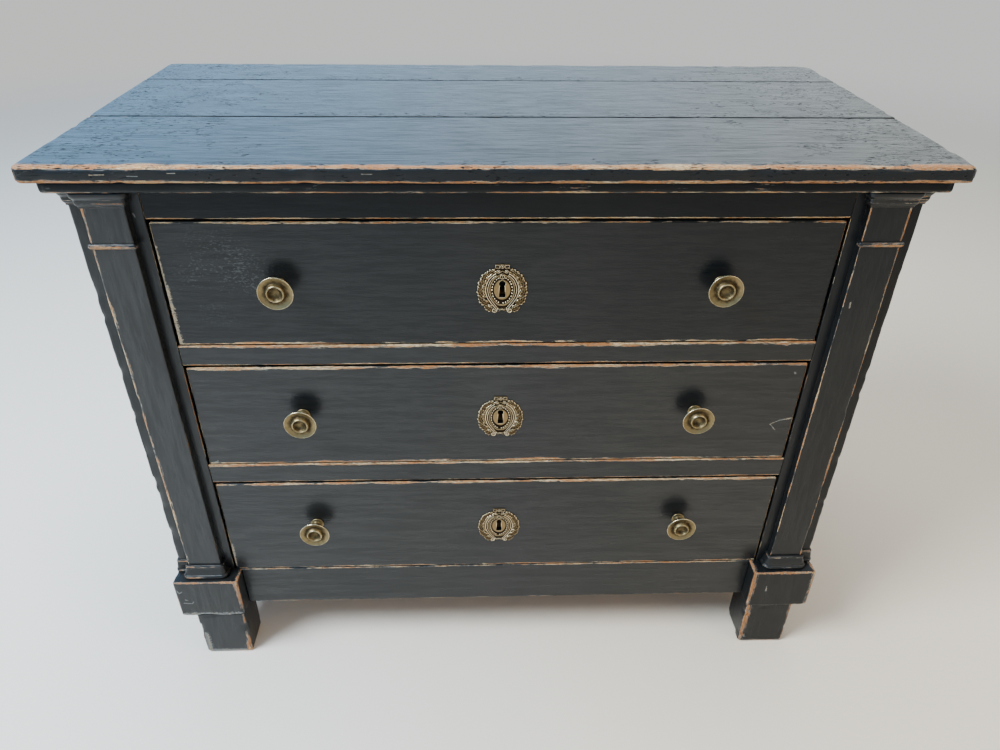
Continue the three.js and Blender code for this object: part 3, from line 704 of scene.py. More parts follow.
def wornBoard(node, material, radii, endRadius, spacing, wobble, chips, seed, box=None, along=0, rounded=None,
              sag=0.0):
    # A box whose surface points are pulled onto balls that roll inside it: each goes from the nearest
    # point of the inner box outwards by the local radius. The radius differs from edge to edge and
    # wavers along them, and chips take some of it away. radii are in millimetres: first by low or high of
    # the first cross axis, then of the second. endRadius is one radius, or one for each end.
    # rounded = (front -1 or back 1, radius) is for plan corners.
    low, high = (np.array(corner, float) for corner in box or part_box(node))
    size = high - low
    crossA, crossB = [k for k in range(3) if k != along]
    ends = np.broadcast_to(np.array(endRadius, float), 2)
    biggest = max(np.max(radii), ends.max()) * mm
    cuts = [edgeCuts(size[k], biggest, (spacing if k == along else spacing * 1.6) * mm) for k in range(3)]
    shape = Shape()
    for k, end in ((k, end) for k in range(3) for end in (0, 1)):
        a, b = [j for j in range(3) if j != k]
        points = np.zeros((len(cuts[a]), len(cuts[b]), 3))
        points[..., a], points[..., b] = np.meshgrid(cuts[a], cuts[b], indexing="ij")
        points[..., k] = end * size[k]
        s = smoothStep(points[..., crossA] / size[crossA], 0.15, 0.85)
        t = smoothStep(points[..., crossB] / size[crossB], 0.15, 0.85)
        radius = ((1 - s) * ((1 - t) * radii[0][0] + t * radii[0][1])
                  + s * ((1 - t) * radii[1][0] + t * radii[1][1])) * mm
        toEnd = np.minimum(points[..., along], size[along] - points[..., along])
        atEnd = (ends[0] + (ends[1] - ends[0]) * smoothStep(points[..., along] / size[along], 0.3, 0.7)) * mm
        radius = atEnd + (radius - atEnd) * smoothStep(toEnd, 0, 4 * atEnd)
        onBoard = points + low
        waver = np.stack([onBoard[..., along], onBoard[..., crossA] * 0.2, onBoard[..., crossB] * 0.2], -1)
        radius = radius * (1 + wobble * (2 * latticeNoise(waver, 0.030, seed) - 1)
                           + wobble * 0.5 * (2 * latticeNoise(waver, 0.009, seed + 1) - 1))
        radius = np.minimum(radius, size.min() * 0.45)[..., None]
        inner = np.clip(points, radius, size - radius)
        out = points - inner
        out = out / np.linalg.norm(out, axis=-1, keepdims=True)
        gaps = np.sort(np.minimum(points, size - points), axis=-1)
        atEdge = np.exp(-(gaps[..., 1:2] / (1.6 * radius)) ** 2)
        chip = smoothStep(latticeNoise(onBoard, 0.016, seed + 2), 0.62, 0.85)[..., None]
        chip = chip * chips * radius * atEdge
        moved = inner + out * (radius - chip)
        if sag:
            dip = latticeNoise(onBoard * (1, 2.5, 0), 0.17, seed + 3) * smoothStep(gaps[..., 1], 0, 0.02)
            moved[..., 2] -= sag * mm * dip * (out[..., 2] > 0.9)
        moved = moved + low
        if rounded:
            for side in (-1, 1):
                roundPlan(moved, low, high, np.array([side, rounded[0]]), rounded[1] * mm)
        quads = gridQuads(*points.shape[:2])
        shape.add(moved, quads[:, ::-1] if (k == 1) != (end == 0) else quads)
    shape.welded().piece(node + "_worn", "carcass", "dark_paint", material, node)


# Top planks

topSetup = {
    "front": {"radii": ((4.2, 5.2), (1.4, 1.5)), "reach": (1.7, 8.0, 2.6, 1.7, 0.1, 1.7), "wear": 0.70,
              "seed": 21, "seams": (0, 1.9), "rounded": (-1, 10), "ends": 5.0, "tone": 0.45},
    "middle": {"radii": ((1.4, 1.5), (1.4, 1.4)), "reach": (2.4, 0.1, 2.4, 2.4, 0.1, 1.2), "wear": -0.25,
               "seed": 31, "seams": (1.1, 0.8), "rounded": None, "ends": 3.5, "tone": 0.4},
    "back": {"radii": ((1.4, 1.4), (2.0, 2.2)), "reach": (2.4, 0.1, 2.4, 2.4, 1.6, 1.6), "wear": -0.25,
             "seed": 41, "seams": (0.5, 0), "rounded": (1, 10), "ends": 3.5, "tone": 0.4},
}
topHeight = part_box("top_plank_front")[1].z
topFlecks = {"ends": (0.05, 0.47), "front": (0.045, 0.010), "amount": 0.54}
topGaps = {
    "holes": [(x, y, topHeight) for x, y in ((-0.4384, 0.2212), (-0.4261, 0.2324), (-0.4548, 0.0227),
                                             (0.3502, 0.2238), (0.4453, 0.2259), (0.3615, -0.0700))],
    "joints": [(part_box("top_plank_front")[1].y - 0.4 * mm, 6.4), (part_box("top_plank_middle")[1].y, 4.2)],
}
topMarks = (marksOn(-0.1971, (0.1035, topHeight, 0.1117, topHeight, 0.6))
            + marksOn(-0.2545, (-0.430, 0.7850, -0.415, 0.7852, 0.5), (-0.392, 0.7838, -0.381, 0.7836, 0.4),
                      (-0.350, 0.7868, -0.342, 0.7868, 0.5), (-0.150, 0.7860, -0.139, 0.7858, 0.5)))

for part, setup in topSetup.items():
    node = "top_plank_" + part
    low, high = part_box(node)
    paint = paintedWood(node + "_paint", low, high, "short x", setup["reach"], setup["wear"],
                        setup["seed"] * 0.7, setup["tone"], shine=0.6, glaze=(high.z, 6.0), gaps=topGaps,
                        marks=topMarks if part == "front" else (), flecks=topFlecks)
    low.y += setup["seams"][0] * mm
    high.y -= setup["seams"][1] * mm
    wornBoard(node, paint, setup["radii"], setup["ends"], spacing=5, wobble=0.3, chips=0.35,
              seed=setup["seed"], box=(low, high), rounded=setup["rounded"], sag=0.2)
print("top planks made")


# Pilasters, mouldings, plinths and feet

def sweptPiece(name, profile, levels, stations, outwards, material, seed, waver, stands=None):
    # The profile [out, height] in millimetres is carried through stations in the plan, each with its
    # own outward direction. The surface is worn back from the profile by noise, and both ends and the
    # back are closed.
    stations, outwards = np.array(stations, float), np.array(outwards, float)[:, None, :]
    profile = np.array(profile) * mm
    points = np.zeros((len(stations), len(profile), 3))
    points[..., :2] = stations[:, None, :] + outwards * profile[None, :, 0:1]
    points[..., 2] = profile[None, :, 1]
    worn = latticeNoise(points, 0.013, seed) * latticeNoise(points, 0.004, seed + 1) * waver * mm * 2
    points[..., :2] -= outwards * (worn * (profile[None, :, 0] > 0.001))[..., None]
    shape = Shape()
    shape.tube(points, np.broadcast_to(np.asarray(levels, float)[None, :], points.shape[:2]))
    shape.piece(name, "carcass", "dark_paint", material, stands)


def roundPilaster(sign, inner, outer, frontY, sideShare=1.0, beside=None):
    # Stations round a pilaster from its inner side: convex corners turn in steps. With beside = (x, y),
    # the moulding goes on over the reveal to the case's corner and back along its side, where it
    # projects by its own share. A bead without it starts halfway along the inner side.
    stations, outwards = [], []

    def between(first, last, t):
        return first[0] + (last[0] - first[0]) * t, first[1] + (last[1] - first[1]) * t

    def run(first, last, outFirst, outLast, count, closing=False):
        for t in np.linspace(0, 1, count)[:None if closing else -1]:
            stations.append(between(first, last, t))
            outwards.append(between(outFirst, outLast, t))

    def corner(place, turnFrom, share=1.0):
        # A quarter turn to the left
        for turn in np.linspace(turnFrom, turnFrom + 0.5 * math.pi, 6)[:-1]:
            stations.append(place)
            outwards.append((share * math.cos(turn), share * math.sin(turn)))

    innerY = frontPlane if beside else frontY + 0.35 * (frontPlane - frontY)
    run((inner, innerY), (inner, frontY), (-1, 0), (-1, 0), 4)
    corner((inner, frontY), math.pi)
    run((inner, frontY), (outer, frontY), (0, -1), (0, -1), 18)
    corner((outer, frontY), -0.5 * math.pi)
    if beside:
        run((outer, frontY), (outer, frontPlane), (1, 0), (1, -sideShare), 4)
        run((outer, frontPlane), (beside[0], frontPlane), (1, -sideShare), (0, -sideShare), 6)
        corner((beside[0], frontPlane), -0.5 * math.pi, sideShare)
        run((beside[0], frontPlane), beside, (sideShare, 0), (sideShare, 0), 8, True)
    else:
        run((outer, frontY), (outer, frontPlane), (1, 0), (1, 0), 4, True)
    stations, outwards = np.array(stations), np.array(outwards)
    if sign < 0:
        stations, outwards = stations[::-1] * (-1, 1), outwards[::-1] * (-1, 1)
    return stations, outwards


mouldingSetup = {
    "half": 0.024,               # half the pilaster's width
    "proud": 0.011,
    "beadDrop": 64.5,            # from the pilaster's top down to the middle of its bead, mm
    "beadRadius": 3.5,
    "beadOut": 3.2,
    # Rows of out, height and level: the level says how near the surface is to worn through
    "crown": [(-1, 0, 0), (0.7, 0.1, 0.2), (1.1, 1.6, 0.3), (1.25, 2.4, 0.84), (1.6, 3.0, 0.3),
              (2.8, 3.9, 0.2), (3.7, 5.8, 0.3), (3.95, 6.6, 0.90), (4.05, 7.3, 0.3), (4.3, 9.4, 0.2),
              (4.35, 10.6, 0.80), (4.8, 11.4, 0.2), (6.0, 12.6, 0.2), (7.2, 14.4, 0.2), (7.7, 16.8, 0.3),
              (7.7, 19.8, 0.2), (-1, 19.9, 0)],
    "crownShare": 1.0,
    "base": [(-1, 0.1, 0), (7.8, 0.1, 0.2), (8.6, 1.7, 0.35), (8.7, 4.4, 0.62), (7.6, 6.2, 0.35),
             (6.1, 6.8, 0.1), (5.8, 9.4, 0.1), (4.8, 13.2, 0.1), (3.8, 16.8, 0.2), (3.4, 18.2, 0.4),
             (3.4, 20.6, 0.68), (2.6, 22.7, 0.4), (-1, 22.9, 0)],
    "baseShare": 5 / 9,
}
postMarks = {
    "left": marksOn(frontPlane, (-0.4114, 0.7300, -0.4100, 0.7262, 0.9),
                    (-0.4195, 0.6650, -0.4210, 0.6622, 0.8)),
    "right": marksOn(frontPlane, (0.4419, 0.6442, 0.4432, 0.6307, 0.7),
                     (0.4432, 0.6307, 0.4491, 0.6361, 0.7)),
}
blockSetup = {
    "plinth": {"radii": ((1.8, 2.2), (1.6, 1.6)), "ends": {"outer": 4.0, "inner": 2.4}, "wear": 0.12,
               "seed": 80,
               "reach": {"left": {"outer": 2.0, "inner": 7.0, "bottom": 2.4, "top": 2.6},
                         "right": {"outer": 7.0, "inner": 8.5, "bottom": 1.6, "top": 2.6}}},
    "foot": {"radii": {"outer": 2.8, "inner": 4.6, "back": 2.0}, "ends": (4.6, 1.2), "wear": 0.15, "seed": 90,
             "reach": {"left": {"outer": 2.4, "inner": 8.0, "bottom": 3.0, "top": 0.4},
                       "right": {"outer": 5.0, "inner": 9.0, "bottom": 3.6, "top": 0.4}}},
}
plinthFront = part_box("plinth_left")[0].y
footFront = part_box("foot_left")[0].y
blockMarks = {
    "plinth_left": marksOn(plinthFront, (-0.4843, 0.1487, -0.4793, 0.1400, 0.8),
                           (-0.4793, 0.1400, -0.4752, 0.1440, 0.7), (-0.4740, 0.1262, -0.4690, 0.1248, 0.8),
                           (-0.4770, 0.1190, -0.4650, 0.1175, 0.9), (-0.4650, 0.1175, -0.4615, 0.1225, 0.6),
                           (-0.4810, 0.0940, -0.3960, 0.0935, 3.6)),
    "plinth_right": marksOn(plinthFront, (0.4140, 0.1330, 0.4150, 0.1230, 1.3)),
    "foot_left": marksOn(footFront, (-0.4590, 0.0440, -0.4585, 0.0100, 4.6),
                         (-0.4600, 0.0050, -0.4000, 0.0040, 3.4)),
    "foot_right": marksOn(footFront, (0.4010, 0.0160, 0.4030, 0.0120, 1.6)),
}
pilasterSetup = {
    "left": {"reach": (4.6, 0.06, 1.4), "wear": -0.05, "shine": 0.8, "marks": ()},
    "right": {"reach": (2.6, 1.5, 0.9), "wear": 0.16, "shine": 0.55,
              "marks": marksOn(frontPlane - 0.011, (0.4225, 0.619, 0.4228, 0.612, 1.3))},
}


def pairOf(sign, outer, inner):
    # What belongs on the outer and the inner side, in the order of x
    return (outer, inner) if sign < 0 else (inner, outer)


def reachOf(sign, outer, inner, front, bottom=0.4, back=0.4, top=0.4):
    first, last = pairOf(sign, outer, inner)
    return first, front, bottom, last, back, top


for side, sign in sides.items():
    setup, pilaster = mouldingSetup, pilasterSetup[side]
    low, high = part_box("pilaster_" + side)
    middle, half = (low.x + high.x) / 2, setup["half"]
    front = frontPlane - setup["proud"]
    pilasterTop = high.z / mm
    box = ((middle - half, front, low.z), (middle + half, frontPlane, high.z))
    paint = paintedWood("pilaster_paint_" + side, *box, "z", reachOf(sign, *pilaster["reach"]),
                        pilaster["wear"], 50 + sign * 3, shine=pilaster["shine"], marks=pilaster["marks"])
    wornBoard("pilaster_" + side, paint, pairOf(sign, (2.1, 0.4), (1.2, 0.4)), endRadius=0.5, spacing=5,
              wobble=0.3, chips=0.5, seed=50 + sign, box=box, along=2)

    # The post's edges are worn round a little, more at the corner of the case than beside the drawers
    low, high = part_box("post_" + side)
    caseCorner = (max(abs(low.x), abs(high.x)), high.y)
    paint = paintedWood("post_paint_" + side, low, high, "z", reachOf(sign, 0.8, 0.45, 0.8), wear=0.05,
                        seed=8.3 + sign, shine=pilaster["shine"] * 0.8, marks=postMarks[side],
                        calm=(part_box("top_rail")[0].z, 0.9))
    wornBoard("post_" + side, paint, pairOf(sign, (2.8, 0.5), (0.7, 0.5)), endRadius=0.5, spacing=4,
              wobble=0.45, chips=0.6, seed=56 + sign, along=2)

    inner, outer = abs(middle) - half, abs(middle) + half
    bar = paintedWood("moulding_paint_" + side, seed=55 + sign * 2, tone=0.3, shine=0.6)
    angles = np.linspace(-math.pi / 2, math.pi / 2, 13)
    beadHeight = pilasterTop - setup["beadDrop"]
    radius, beadBack = setup["beadRadius"], -1.2
    bead = [(setup["beadOut"] + radius * (math.cos(a) - 1), beadHeight + radius * math.sin(a))
            for a in angles]
    bead = [(beadBack, beadHeight - radius)] + bead + [(beadBack, beadHeight + radius)]
    beadLevels = [0] + [0.24 + 0.46 * math.cos(a + 0.45) for a in angles] + [0]
    path = roundPilaster(sign, inner, outer, front)
    sweptPiece("astragal_" + side, bead, beadLevels, *path, bar, 60 + sign, 0.5)
    for key in ("crown", "base"):
        node = f"{key}_moulding_{side}"
        line, level = levelledProfile(setup[key])
        line = line + np.array([0.3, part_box(node)[0].z / mm])
        path = roundPilaster(sign, inner, outer, front, setup[key + "Share"], caseCorner)
        sweptPiece(node + "_worn", line, level, *path, bar, 70 + sign, 0.3, node)

    for name, block in blockSetup.items():
        node = f"{name}_{side}"
        low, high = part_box(node)
        far = block["reach"][side]
        reach = reachOf(sign, far["outer"], far["inner"], 3.2, far["bottom"], 1.6, far["top"])
        paint = paintedWood(node + "_paint", low, high, "z", reach, block["wear"],
                            block["seed"] + sign * 3.3, tone=0.15, shine=pilaster["shine"] * 0.83,
                            marks=blockMarks[node], calm=(high.z, 0.35))
        radii, ends, along = block["radii"], block["ends"], 0
        if name == "foot":
            radii = tuple((end, radii["back"]) for end in pairOf(sign, radii["outer"], radii["inner"]))
            along = 2
        else:
            ends = pairOf(sign, ends["outer"], ends["inner"])
        wornBoard(node, paint, radii, ends, spacing=3, wobble=0.4, chips=0.7, seed=block["seed"] + sign,
                  along=along)

# The cornice's profile: flat underside, rounded lower edge, upright face
corniceSetup = {
    "out": 24.0,
    "sideShare": 0.5,
    "rounding": 6.0,
    "half": 0.480,               # metres, at the sides
    "frontHalf": 0.4797,
    "levels": [0, 0.2, 0.2, 0.3, 0.62, 0.74, 0.60, 0.3, 0.2, 0.2, 0.2, 0.2, 0],
}
low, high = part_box("cornice_front")
out, sideShare, radius, half, frontHalf, worn = corniceSetup.values()
bottom, top = low.z / mm, high.z / mm - 0.1
profile = [(out - radius + radius * math.cos(a), bottom + radius + radius * math.sin(a))
           for a in np.linspace(-math.pi / 2, 0, 9)]
profile = [(0, bottom)] + profile + [(out, bottom + 10), (out, top), (0, top)]
for name, end in (("front", 0), ("left", -1), ("right", 1)):
    node = "cornice_" + name
    bar = paintedWood(node + "_paint", grain="y" if end else "x", seed=95 + end, tone=0.4, shine=0.27)
    if end:
        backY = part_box(node)[1].y
        steps = np.linspace(0, 1, 60)[::end]
        stations = [(end * half, frontPlane + t * (backY - frontPlane)) for t in steps]
        outwards = [(end * sideShare, -(1 - t)) for t in steps]
    else:
        steps = np.linspace(-1, 1, 130)
        stations = [(t * frontHalf, frontPlane) for t in steps]
        outwards = [(t * sideShare, -1) for t in steps]
    sweptPiece(node + "_worn", profile, worn, stations, outwards, bar, 96, 0.5, node)
print("pilasters, mouldings, plinths, feet and cornice made")


# Knobs

knobSetup = {
    "sides": 72,
    # Rows of radius and projection as shares of the knob, with the level of its polish
    "profile": [(0.002, 0, 0.1), (0.44, 0, 0.1), (0.46, 0.03, 0.4), (0.44, 0.07, 0.6), (0.33, 0.10, 0.3),
                (0.27, 0.16, 0.2), (0.24, 0.26, 0.25), (0.235, 0.40, 0.3), (0.25, 0.52, 0.25),
                (0.30, 0.61, 0.2), (0.45, 0.69, 0.2), (0.70, 0.745, 0.3), (0.90, 0.785, 0.4),
                (0.985, 0.815, 0.6), (1.0, 0.845, 0.8),
                (0.997, 0.875, 0.95), (0.975, 0.893, 0.85), (0.945, 0.878, 0.40), (0.88, 0.858, 0.55),
                (0.80, 0.832, 0.42), (0.71, 0.812, 0.25), (0.63, 0.806, 0.10), (0.575, 0.828, 0.10),
                (0.545, 0.880, 0.3), (0.52, 0.935, 0.5), (0.485, 0.975, 0.7), (0.45, 0.985, 0.65),
                (0.415, 0.965, 0.4), (0.38, 0.915, 0.2), (0.33, 0.868, 0.14), (0.26, 0.832, 0.16),
                (0.17, 0.812, 0.24), (0.08, 0.805, 0.30), (0.002, 0.805, 0.30)],
}
knobTones = (0.036, 0.024, 0.012, 1), (0.20, 0.150, 0.072, 1), (0.62, 0.52, 0.33, 1)
knobBrass = agedBrass("knob_brass", knobTones, 0.7)


def makeKnob(node, body, setup, seed):
    low, high = (np.array(corner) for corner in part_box(node))
    centre, radius, depth = (low + high) / 2, (high[0] - low[0]) / 2, high[1] - low[1]
    line, levels = levelledProfile(setup["profile"])
    turn = ring(setup["sides"])
    points = np.zeros((len(line), len(turn), 3))
    points[..., ::2] = centre[::2] + radius * line[:, None, 0:1] * towards(turn)
    points[..., 1] = high[1] - depth * line[:, 1:2]
    inwards = (points - centre) * (1, 0, 1)
    points -= inwards * latticeNoise(points, 0.006, seed)[..., None] * 0.010
    shape = Shape()
    shape.tube(points, np.repeat(levels, len(turn)), inwards=True)
    shape.piece(node + "_turned", body, "brass", knobBrass, node)


for index, level in enumerate(levels):
    for side in sides:
        makeKnob(f"knob_{level}_{side}", "drawer_" + level, knobSetup, 100 + index)
print("knobs made")


# Wreath plates

# All lengths here are millimetres from the middle of the keyhole, across and up. A turn starts at the
# foot of the plate, and is the same on both sides: 0 at the foot, 1 at the head.
wreathSetup = {
    "steps": 288,
    "frame": [(0, 28.0), (0.06, 28.0), (0.085, 26.8), (0.137, 24.0), (0.24, 21.3), (0.377, 19.9),
              (0.52, 19.4), (0.642, 19.5), (0.787, 20.8), (0.895, 21.6), (1, 22.0)],
    "rim": [(0, 26.6), (0.06, 27.6), (0.10, 28.4), (0.165, 28.0), (0.3, 28.3), (0.5, 28.6), (0.7, 28.6),
            (0.83, 28.3), (0.9, 28.0), (1, 29.4)],
    "field": (9.9, 12.8, -1.1),
    "channel": (14.0, 19.2, -1.6),
    "beads": 26,
    "beadRadius": 1.05,
    "beadOval": (12.2, 17.2, -1.5),
    "crown": (8.2, 32.0),            # half width and top
    # Big lobed leaves: place of the root from foot to head, length, width and lean outwards
    "leaves": [(0.105, 13.5, 8.4, 0.34), (0.215, 15.5, 9.4, 0.40), (0.345, 15.5, 9.8, 0.42),
               (0.475, 15.5, 9.8, 0.42), (0.605, 15.0, 9.2, 0.42), (0.730, 13.5, 8.0, 0.42)],
    "smallLeaves": 9,
    "notches": 15,                   # in the rim on each side
    "keyholeRise": 32.2,             # over the plate's lowest point
    # Rings between the curves: section, share of the way to the next curve, height and level
    "rings": [(0, 0, 0.0, 0.1), (0, 0, 1.2, 0.3), (0, 0.05, 1.75, 0.95), (0, 0.18, 1.6, 0.6),
              (0, 0.45, 1.5, 0.55), (0, 0.7, 1.5, 0.55), (0, 0.9, 1.55, 0.55), (0, 0.99, 1.5, 0.35),
              (1, 0.08, 0.9, 0.05), (1, 0.3, 0.75, 0.0), (1, 0.6, 0.75, 0.0), (1, 0.86, 0.85, 0.05),
              (1, 0.97, 1.3, 0.3), (2, 0.1, 2.0, 0.85), (2, 0.22, 1.9, 0.8), (2, 0.34, 1.2, 0.1),
              (2, 0.6, 1.0, 0.05), (2, 0.9, 1.1, 0.1)],
    # Middle, radius, wire and dot of each
    "rosettes": [((0, 29.6), 2.1, 0.34, 0.85), ((-4.9, 23.3), 1.9, 0.40, 0.75),
                 ((4.9, 23.3), 1.9, 0.40, 0.75), ((0, 16.4), 2.6, 0.42, 0.6)],
    "loop": [(3.2, 31.2), (5.6, 31.1), (8.3, 31.2), (8.1, 29.4), (8.0, 27.6), (5.6, 27.8), (3.3, 27.6),
             (3.5, 29.3)],
    # Path, radius, height and level of each wire
    "crownBars": [([(-2.8, 21.4), (0, 24.2), (2.8, 21.4)], 0.36, 1.8, 0.75),
                  ([(-3.2, 19.2), (0, 20.4), (3.2, 19.2)], 0.34, 1.7, 0.7)],
    "bowBars": [([(-6.2, -26.4), (-3, -27.0), (0, -26.4), (3, -27.0), (6.2, -26.4)], 0.42, 1.7, 0.85),
                ([(-4.6, -29.6), (0, -27.6), (4.6, -29.6)], 0.36, 1.5, 0.7)],
}
wreathTones = (0.020, 0.013, 0.008, 1), (0.22, 0.150, 0.070, 1), (0.86, 0.71, 0.47, 1)
wreathBrass = agedBrass("wreath_brass", wreathTones, 0.30)
foot = -math.pi / 2


def keyholeRadius(angles):
    # From a point 2 mm above the keyhole's middle to its outline: a round head over a widening skirt
    lean = math.asin(2.7 / 4)
    head = np.linspace(foot + lean, 1.5 * math.pi - lean, 60)
    outline = np.array([(4 * math.cos(a), 7 + 4 * math.sin(a)) for a in head]
                       + [(-2.7 - 1.5 * t, 4.05 - 15.05 * t) for t in np.linspace(0.03, 1, 30)]
                       + [(x, -11) for x in np.linspace(-4.2, 4.2, 30)[1:]]
                       + [(4.2 - 1.5 * t, -11 + 15.05 * t) for t in np.linspace(0.03, 0.97, 30)])
    outline[:, 1] -= 2
    turn = np.arctan2(outline[:, 1], outline[:, 0])
    order = np.argsort(turn)
    return np.interp(angles, turn[order], np.hypot(*outline[order].T), period=2 * math.pi)


def plateTube(shape, path, radii, height, level, closed=False):
    # A wire along a path in the plane of the plate: rings stand square to the path
    path = np.array(path, float)
    ahead = np.roll(path, -1, 0) - np.roll(path, 1, 0)
    if not closed:
        ahead[0], ahead[-1] = path[1] - path[0], path[-1] - path[-2]
    ahead /= np.linalg.norm(ahead, axis=1, keepdims=True)
    across = np.stack([-ahead[:, 1], ahead[:, 0]], 1)
    turn = ring(8)
    radii = np.broadcast_to(np.asarray(radii, float), (len(path),))[:, None]
    points = np.zeros((len(path), len(turn), 3))
    points[..., ::2] = path[:, None] + across[:, None] * radii[..., None] * np.cos(turn)[:, None]
    points[..., 1] = -(height + radii * np.sin(turn))
    levels = np.broadcast_to(level * (0.45 + 0.55 * np.sin(turn)), points.shape[:2])
    shape.tube(points, levels, closed=closed)


def plateBead(shape, x, z, height, radius, level=1.0):
    rise, turn = np.meshgrid(np.linspace(-0.5, 0.5, 8) * math.pi, ring(12), indexing="ij")
    points = np.stack([x + radius * np.cos(rise) * np.cos(turn), -(height + radius * 0.9 * np.sin(rise)),
                       z + radius * np.cos(rise) * np.sin(turn)], -1)
    shape.add(points, gridQuads(*rise.shape, closeColumns=True)[:, ::-1],
              level * (0.35 + 0.65 * np.sin(rise).clip(0)))


def plateLeaf(shape, root, heading, length, width, bend, lift=0.0, lobes=4, shine=0.0):
    # A leaf on a curved midrib. Its sides run out into rounded lobes, and a vein rises from the midrib
    # to each of them. Rings go over the top of the leaf and back along its flat underside.
    rows = 6 * lobes + 1 if lobes else 9
    t = np.linspace(0, 1, rows)
    turn = heading + bend * t
    step = towards(turn) * length / (rows - 1)
    rib = np.array(root) + np.concatenate([[(0, 0)], np.cumsum(step[:-1], 0)])
    across = np.stack([-np.sin(turn), np.cos(turn)], 1)
    lobe = 0.60 + 0.44 * np.abs(np.sin(math.pi * lobes * t)) if lobes else 1.0
    half = width / 2 * np.sin(math.pi * (0.07 + 0.87 * t ** 0.8)) ** 0.7 * lobe
    v = np.concatenate([np.linspace(1, -1, 11), (-0.5, 0.5)])[None, :]
    onTop = np.arange(v.size)[None, :] < 11
    far = np.abs(v)
    rise = (np.sin(math.pi * (0.08 + 0.86 * t)) ** 0.6)[:, None]
    vein = 0.5 + 0.5 * np.cos(2 * math.pi * (lobes * t[:, None] + 0.55 * (1 - far))) * (-1 if lobes else 0)
    groove, midrib, border = (np.exp(-((far - middle) / wide) ** 2) for middle, wide in
                              ((0.2, 0.11), (0, 0.11), (0.88, 0.13)))
    ridge = (1 - far ** 3) * (0.5 + 0.5 * vein) - 0.45 * groove + 0.2 * midrib + 0.25 * border
    points = np.zeros((rows, v.size, 3))
    points[..., ::2] = rib[:, None] + across[:, None] * half[:, None, None] * v[..., None]
    points[..., 1] = -np.where(onTop, 0.8 + (lift + 1.3 * ridge) * rise, 0.5)
    level = 0.05 + 0.55 * vein * (0.3 + 0.7 * far) + 0.85 * border + 0.4 * midrib - 0.5 * groove + shine
    shape.tube(points, np.where(onTop, np.clip(level * rise ** 0.3, 0, 1.1), 0.1))


def curl(centre, start, turns, radius, end, count=26):
    t = np.linspace(0, 1, count)
    return centre + (radius + (end - radius) * t)[:, None] * towards(start + turns * 2 * math.pi * t)


def makePlate(shape, setup):
    # The plate itself: rings from the keyhole over the field, the bead channel and the frame to the rim
    steps = setup["steps"]
    angle = (np.arange(steps) + 0.5) / steps * 2 * math.pi + foot
    around = np.abs((angle - foot + math.pi) % (2 * math.pi) - math.pi) / math.pi
    direction = towards(angle)
    rim = np.interp(around, *np.array(setup["rim"]).T)
    halfCrown, crownTop = setup["crown"]
    crown = np.minimum(crownTop / np.maximum(direction[:, 1], 0.05),
                       halfCrown / np.maximum(np.abs(direction[:, 0]), 1e-3))
    rim = np.where((around > 0.86) & (crown > rim), crown, rim)
    # The leaves' lobes stand over a rim that is drawn in between them
    leafy = smoothStep(around, 0.12, 0.17) * (1 - smoothStep(around, 0.80, 0.85))
    rim = rim - leafy * (0.9 + 1.9 * np.sin(math.pi * setup["notches"] * around) ** 2)
    wreath = np.minimum(np.interp(around, *np.array(setup["frame"]).T), rim - 1.0)
    curves = [keyholeRadius(angle)[:, None] * direction + (0, 2)]
    curves += [(0, lift) + (a, b) * direction for a, b, lift in (setup["field"], setup["channel"])]
    curves += [wreath[:, None] * direction, rim[:, None] * direction]
    points, levels = [], []

    def addRing(flat, height, level):
        points.append(np.stack([flat[:, 0], np.full(steps, -height), flat[:, 1]], 1))
        levels.append(np.full(steps, level))

    for section, share, height, level in setup["rings"]:
        addRing(curves[section] * (1 - share) + curves[section + 1] * share, height, level)
        if section == 2 and share < 0.3:
            scallop = 0.35 * np.cos(angle * 46)
            points[-1][:, 1] += scallop
            levels[-1] -= np.abs(scallop)
    for share in np.linspace(0.0, 1, 8):
        addRing(curves[3] * (1 - share) + curves[4] * share, 1.15 - 0.45 * share, 0.06 + 0.25 * (share > 0.9))
    addRing(curves[4], 0.3, 0.3)
    addRing(curves[4] * 0.99, 0.0, 0.1)
    shape.add(points, gridQuads(len(points), steps, True, True)[:, ::-1], levels)


def makeLeaves(shape, setup, side):
    # Lobed leaves follow the wreath from the bow up to the crown. Inside are small leaves and berries.
    def aloft(part, gap, lean):
        # Root and heading at a place on the wreath
        turn = part * math.pi + foot
        reach = np.interp(part, *np.array(setup["frame"]).T) + gap
        heading = turn + math.pi / 2 - lean
        root = (side * reach * math.cos(turn), reach * math.sin(turn))
        return root, heading if side > 0 else math.pi - heading

    differ = np.random.default_rng(7 + side).uniform(-1, 1, (20, 3))
    for (part, length, width, lean), unlike in zip(setup["leaves"], differ):
        root, heading = aloft(part + 0.006 * unlike[0], 3.9, lean + 0.05 * unlike[1])
        plateLeaf(shape, root, heading, length * (1 + 0.04 * unlike[2]), width, side * 1.05)
    for index, unlike in enumerate(differ[:setup["smallLeaves"]]):
        part = 0.15 + 0.70 * (index + 0.15 * unlike[0]) / (setup["smallLeaves"] - 1)
        root, heading = aloft(part, 1.9, 0.22 + 0.15 * unlike[1])
        plateLeaf(shape, root, heading, 6.6 + 0.8 * unlike[2], 2.5, side * 0.3, 1.3, 0, 0.25)
        if index % 2:
            plateBead(shape, *aloft(part - 0.03, 4.2, 0)[0], 2.3, 0.85)


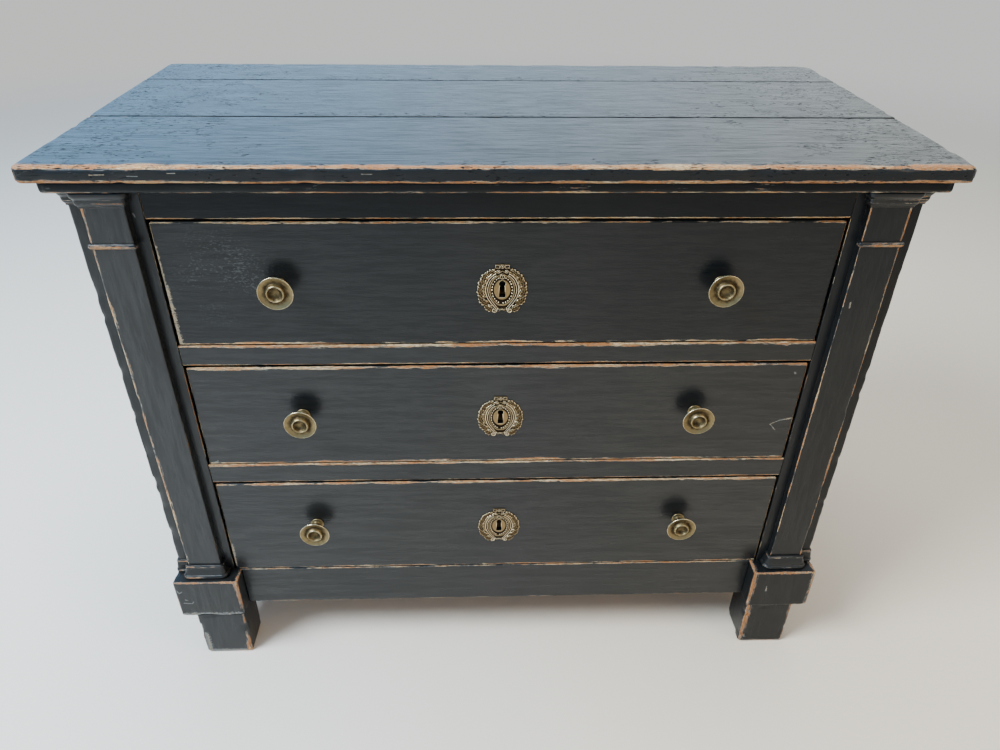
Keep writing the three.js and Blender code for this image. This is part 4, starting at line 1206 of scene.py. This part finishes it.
def makeWreath(setup):
    shape = Shape()
    makePlate(shape, setup)
    for side in (-1, 1):
        makeLeaves(shape, setup, side)

    # Double frame: two wires that follow the drop on each side, from the crown down to the bow
    part = np.linspace(0.080, 0.885, 60)
    reach = np.interp(part, *np.array(setup["frame"]).T)
    for side in (-1, 1):
        for shift, radius in ((0.35, 0.52), (-2.2, 0.38)):
            path = (reach + shift)[:, None] * towards(part * math.pi + foot) * (side, 1)
            plateTube(shape, path, radius, 2.15, 0.95)
    a, b, lift = setup["beadOval"]
    for bead in range(setup["beads"]):
        turn = (bead + 0.5) / setup["beads"] * 2 * math.pi + foot
        if turn < 1.5 * math.pi - 0.3 and abs(turn - math.pi / 2) > 0.25:
            plateBead(shape, a * math.cos(turn), lift + b * math.sin(turn), 1.3, setup["beadRadius"])

    # Crown: a rosette between two square loops, and below it two flowers and a ring over the keyhole
    for centre, radius, wire, dot in setup["rosettes"]:
        plateTube(shape, curl(centre, 0, 1, radius, radius, 24)[:-1], wire, 2.1, 0.85, closed=True)
        plateBead(shape, *centre, 2.1, dot)
    for path, radius, height, level in setup["crownBars"]:
        plateTube(shape, path, radius, height, level)
    for side in (-1, 1):
        plateTube(shape, np.array(setup["loop"]) * (side, 1), 0.34, 2.0, 0.85, closed=True)
        plateBead(shape, side * 10.2, 25.4, 2.0, 1.0, 0.9)
        plateBead(shape, side * 12.3, 23.8, 1.8, 0.8, 0.8)
        # Bow: the frame's outer wire runs on into a scroll with a leaf's tip beside it
        spiral = curl((9.4, -28.4), math.pi * 0.95, 1.2, 3.1, 1.0)
        line = np.concatenate([np.linspace((5.2, -24.6), spiral[0], 5)[:-1], spiral])
        plateTube(shape, line * (side, 1), np.linspace(0.58, 0.40, len(line)), 1.9, 0.95)
        heading = 0.12 if side > 0 else math.pi - 0.12
        plateLeaf(shape, (side * 6.6, -31.3), heading, 8.4, 1.5, side * 0.25, lobes=0, shine=0.1)
    for path, radius, height, level in setup["bowBars"]:
        plateTube(shape, path, radius, height, level)
    plateBead(shape, 0, -26.8, 2.0, 0.9, 0.9)
    return shape


for level in levels:
    node = "wreath_plate_" + level
    low, high = (np.array(corner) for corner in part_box(node))
    shape = makeWreath(wreathSetup)
    middle = np.array([(low[0] + high[0]) / 2, high[1], low[2] + wreathSetup["keyholeRise"] * mm])
    shape.points = [np.minimum(np.maximum(points * mm + middle, low), high) for points in shape.points]
    shape.piece(node + "_cast", "drawer_" + level, "brass", wreathBrass, node)
print("wreath plates made")
